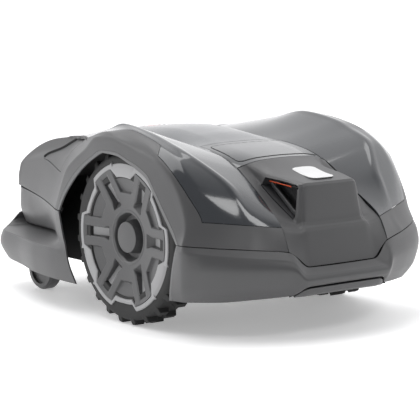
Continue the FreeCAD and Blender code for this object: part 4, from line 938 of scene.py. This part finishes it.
def make_ring(side, name):
    """Light ring: a bar with eased edges between two outlines that step out at the lobes and in at the notches.
    Past the crease a lobe falls away to the tread."""
    face, crease, slope = 209.0, 104, 0.8
    turn = np.radians(np.arange(0, 360, 0.5))[:, None]
    share = np.array([0, 0, 0.06, 0.14, 0.3, 0.5, 0.7, 0.86, 0.94, 1, 1])
    drop = np.array([6, 1.2, 0.35, 0, 0, 0, 0, 0, 0.35, 1.2, 6])
    inner, outer = ring_inner(turn) + 0.3, ring_outer(turn)
    radius = inner + (outer - inner) * share
    fall = np.maximum(radius - crease, 0) * slope * (from_lobe(turn) < 15)
    grid = round_axle(radius, turn, face - drop - fall, side)
    stand_for(f"wheel_ring_{name}", loop_mesh(grid), bevel=0)


def cover_height(radius, turn):
    """Outward place of the dished cover: a cone, with six slots whose inner ends are ramps, six shallow pockets,
    a raised bead round a deep round recess, and a cap in the middle of it. Each is an eased step across its edge."""
    cone_start, cone_run, cone_low, cone_high = 36, 59, 199, 208.5
    slot_half, slot_start, slot_end, ramp_start, slot_depth = 6.5, 58, 93, 46, 12
    pocket_depth, recess_radius, recess_floor, cap_radius, cap_height = 4.5, 35.5, 186, 25, 17.5
    cone = cone_low + (cone_high - cone_low) * np.clip((radius - cone_start) / cone_run, 0, 1.1)
    sixth = np.radians(60)
    slot_turn = (turn % sixth) - sixth / 2
    along, across = radius * np.cos(slot_turn), np.abs(radius * np.sin(slot_turn))
    slot_edge = np.maximum(across - slot_half, np.maximum(slot_start - along, along - slot_end))
    slot = eased(0.5 - slot_edge / 1.4)
    flare = np.interp(along, [ramp_start, slot_start], [slot_half + 4, slot_half])
    ramp = eased(0.5 - (across - flare) / 1.4) * np.clip((along - ramp_start) / 13, 0, 1) * (along < 60)
    rim = eased(0.5 - np.maximum(across - 9, np.maximum(47 - along, along - 96)) / 3) * 0.8
    pocket_turn = ((turn + sixth / 2) % sixth) - sixth / 2
    up, wide = radius * np.cos(pocket_turn), np.abs(radius * np.sin(pocket_turn))
    pocket_edge = np.maximum(wide - np.interp(up, [64, 90], [12, 27]), 65 - up)
    pocket = eased(0.5 - pocket_edge / 3.5) * np.interp(up, [64, 90], [1, 0.35])
    deepest = np.maximum(slot, ramp)
    height = cone - slot_depth * deepest - (rim + pocket_depth * pocket) * (1 - deepest)
    height = height + 0.9 * eased(1 - np.abs(radius - recess_radius - 3) / 2.2)
    facet = 1 + 0.006 * np.cos(8 * turn)
    well = eased((recess_radius * facet - radius) / 4.5)
    cap = eased((cap_radius - radius) / 3)
    return height * (1 - well) + well * recess_floor + (cap_height - 0.06 * np.maximum(radius - 6, 0)) * cap


def make_cover(side, name):
    """Dished cover: its height at each radius and turn is cover_height, and its edge follows the ring."""
    turn = np.radians(np.arange(0, 360, 0.6))[:, None]
    rest = np.concatenate([[0, 8, 16, 20, 21.5], np.arange(22.2, 36.8, 0.7), np.arange(37, 100.2, 0.9)])
    stretch = (ring_inner(turn) - 64) / (100 - 64)
    radius = np.where(rest > 64, 64 + (rest - 64) * stretch, rest)
    face = round_axle(radius, turn, cover_height(radius, turn), side)
    edge = round_axle(radius[:, -1:], turn, 201.0, side)
    back = round_axle(np.array([60.0, 0.0]), turn, np.array([184.0, 184.0]), side)
    stand_for(f"wheel_cover_{name}", loop_mesh(np.concatenate([face, edge, back], axis=1)), bevel=0, sharp=40,
              weld=True)


def make_slot_floors(side, name):
    """The light ring's tongues at the bottom of the cover's slots: each leans towards the hub. They are darker than
    the ring they belong to: painted shade.
    """
    start, level, thickness, lean = 54, 191.6, 3, 0.33
    turn = np.radians(30 + 60 * np.arange(6))[:, None, None]
    along = np.linspace(start, 92.5, 9)[None, :, None]
    across = np.linspace(-6.2, 6.2, 5)[None, None, :]
    radius = np.hypot(along, across)
    angle = turn + np.arctan2(across, along)
    top = round_axle(radius, angle, level + (along - start) * lean, side)
    bottom = round_axle(radius, angle, level - thickness + (along - start) * lean, side)
    points, faces = [], []
    for tongue in range(6):
        slab = np.stack([top[tongue], bottom[tongue]])
        piece_points, piece_faces = slab_mesh(slab)
        faces.append(piece_faces + sum(len(p) for p in points))
        points.append(piece_points)
    node = f"wheel_ring_{name}"
    make_piece(f"slot_tongues_{name}", np.concatenate(points), np.concatenate(faces), TONGUE_NYLON_PAINTED_SHADE,
               BODY_OF[node], SLOTS[node], bevel=0)


def slab_mesh(slab):
    """A closed slab between two grids of the same size."""
    layers, high, wide = slab.shape[:3]
    index = np.arange(layers * high * wide).reshape(layers, high, wide)
    top = np.stack([index[0, :-1, :-1], index[0, 1:, :-1], index[0, 1:, 1:], index[0, :-1, 1:]], -1).reshape(-1, 4)
    rim = np.concatenate([index[:, 0, :], index[:, 1:, -1], index[:, -1, -2::-1], index[:, -2:0:-1, 0]], axis=1)
    loop = np.concatenate([rim, rim[:, :1]], axis=1)
    walls = np.stack([loop[0, 1:], loop[0, :-1], loop[1, :-1], loop[1, 1:]], -1)
    return slab.reshape(-1, 3), np.concatenate([top, top[:, ::-1] + high * wide, walls])


def make_tyre(side, name):
    """Tyre: a rounded section carried round the axle. Two rows of lugs stand on the tread, each a block whose
    height is the product of two eased steps, one round the tread and one across it."""
    lug_height, half_lug, lug_slope, tread_edge = 6.9, 0.16, 0.035, 117
    pitch = np.array([0, 0.06, 0.105, 0.12, 0.14, 0.16, 0.2, 0.25, 0.3, 0.34, 0.36, 0.38, 0.395, 0.44])
    pitch = np.concatenate([pitch, pitch + 0.5])
    count = 24
    turn = np.radians(360 / count) * (np.arange(count)[:, None] + pitch).ravel()[:, None]
    side_in = [(92, 159.5), (98, 158.3), (106, 158.2), (113, 159), (117.5, 161)]
    across = np.concatenate([[162.5, 164], np.linspace(165, 182, 9), [183.5, 185.5], np.linspace(187, 200, 9),
                             [201.5, 203]])
    side_out = [(118.2, 204.6), (115, 206.3), (111, 207), (100, 207), (86, 206.6), (84, 200), (86, 188), (92, 184)]
    radius = np.array([r for r, _ in side_in] + [119.2] + [120.0] * (len(across) - 2) + [119.4]
                      + [r for r, _ in side_out])
    outward = np.array([y for _, y in side_in] + list(across) + [y for _, y in side_out])
    phase = (np.degrees(turn) * count / 360) % 1
    first = eased((half_lug - np.minimum(phase, 1 - phase)) / lug_slope)
    second = eased((half_lug - np.abs(phase - 0.5)) / lug_slope)
    inner_row = eased((outward - 161) / 3) * eased((184 - outward) / 2)
    outer_row = eased((outward - 184.5) / 2) * eased((205 - outward) / 3)
    lug = lug_height * (radius > tread_edge) * (first * inner_row + second * outer_row)
    grid = round_axle(radius + lug, turn, outward, side)
    stand_for(f"tyre_{name}", loop_mesh(grid), bevel=0, sharp=38)


for side, name in SIDES:
    make_tyre(side, name)
    make_ring(side, name)
    make_cover(side, name)
    make_slot_floors(side, name)

make_side_panels()
make_middle_strip()
make_rear()
make_hand_recesses()
make_plates()
make_inset_edge_shades()
make_seam_backs()
make_well_wall()
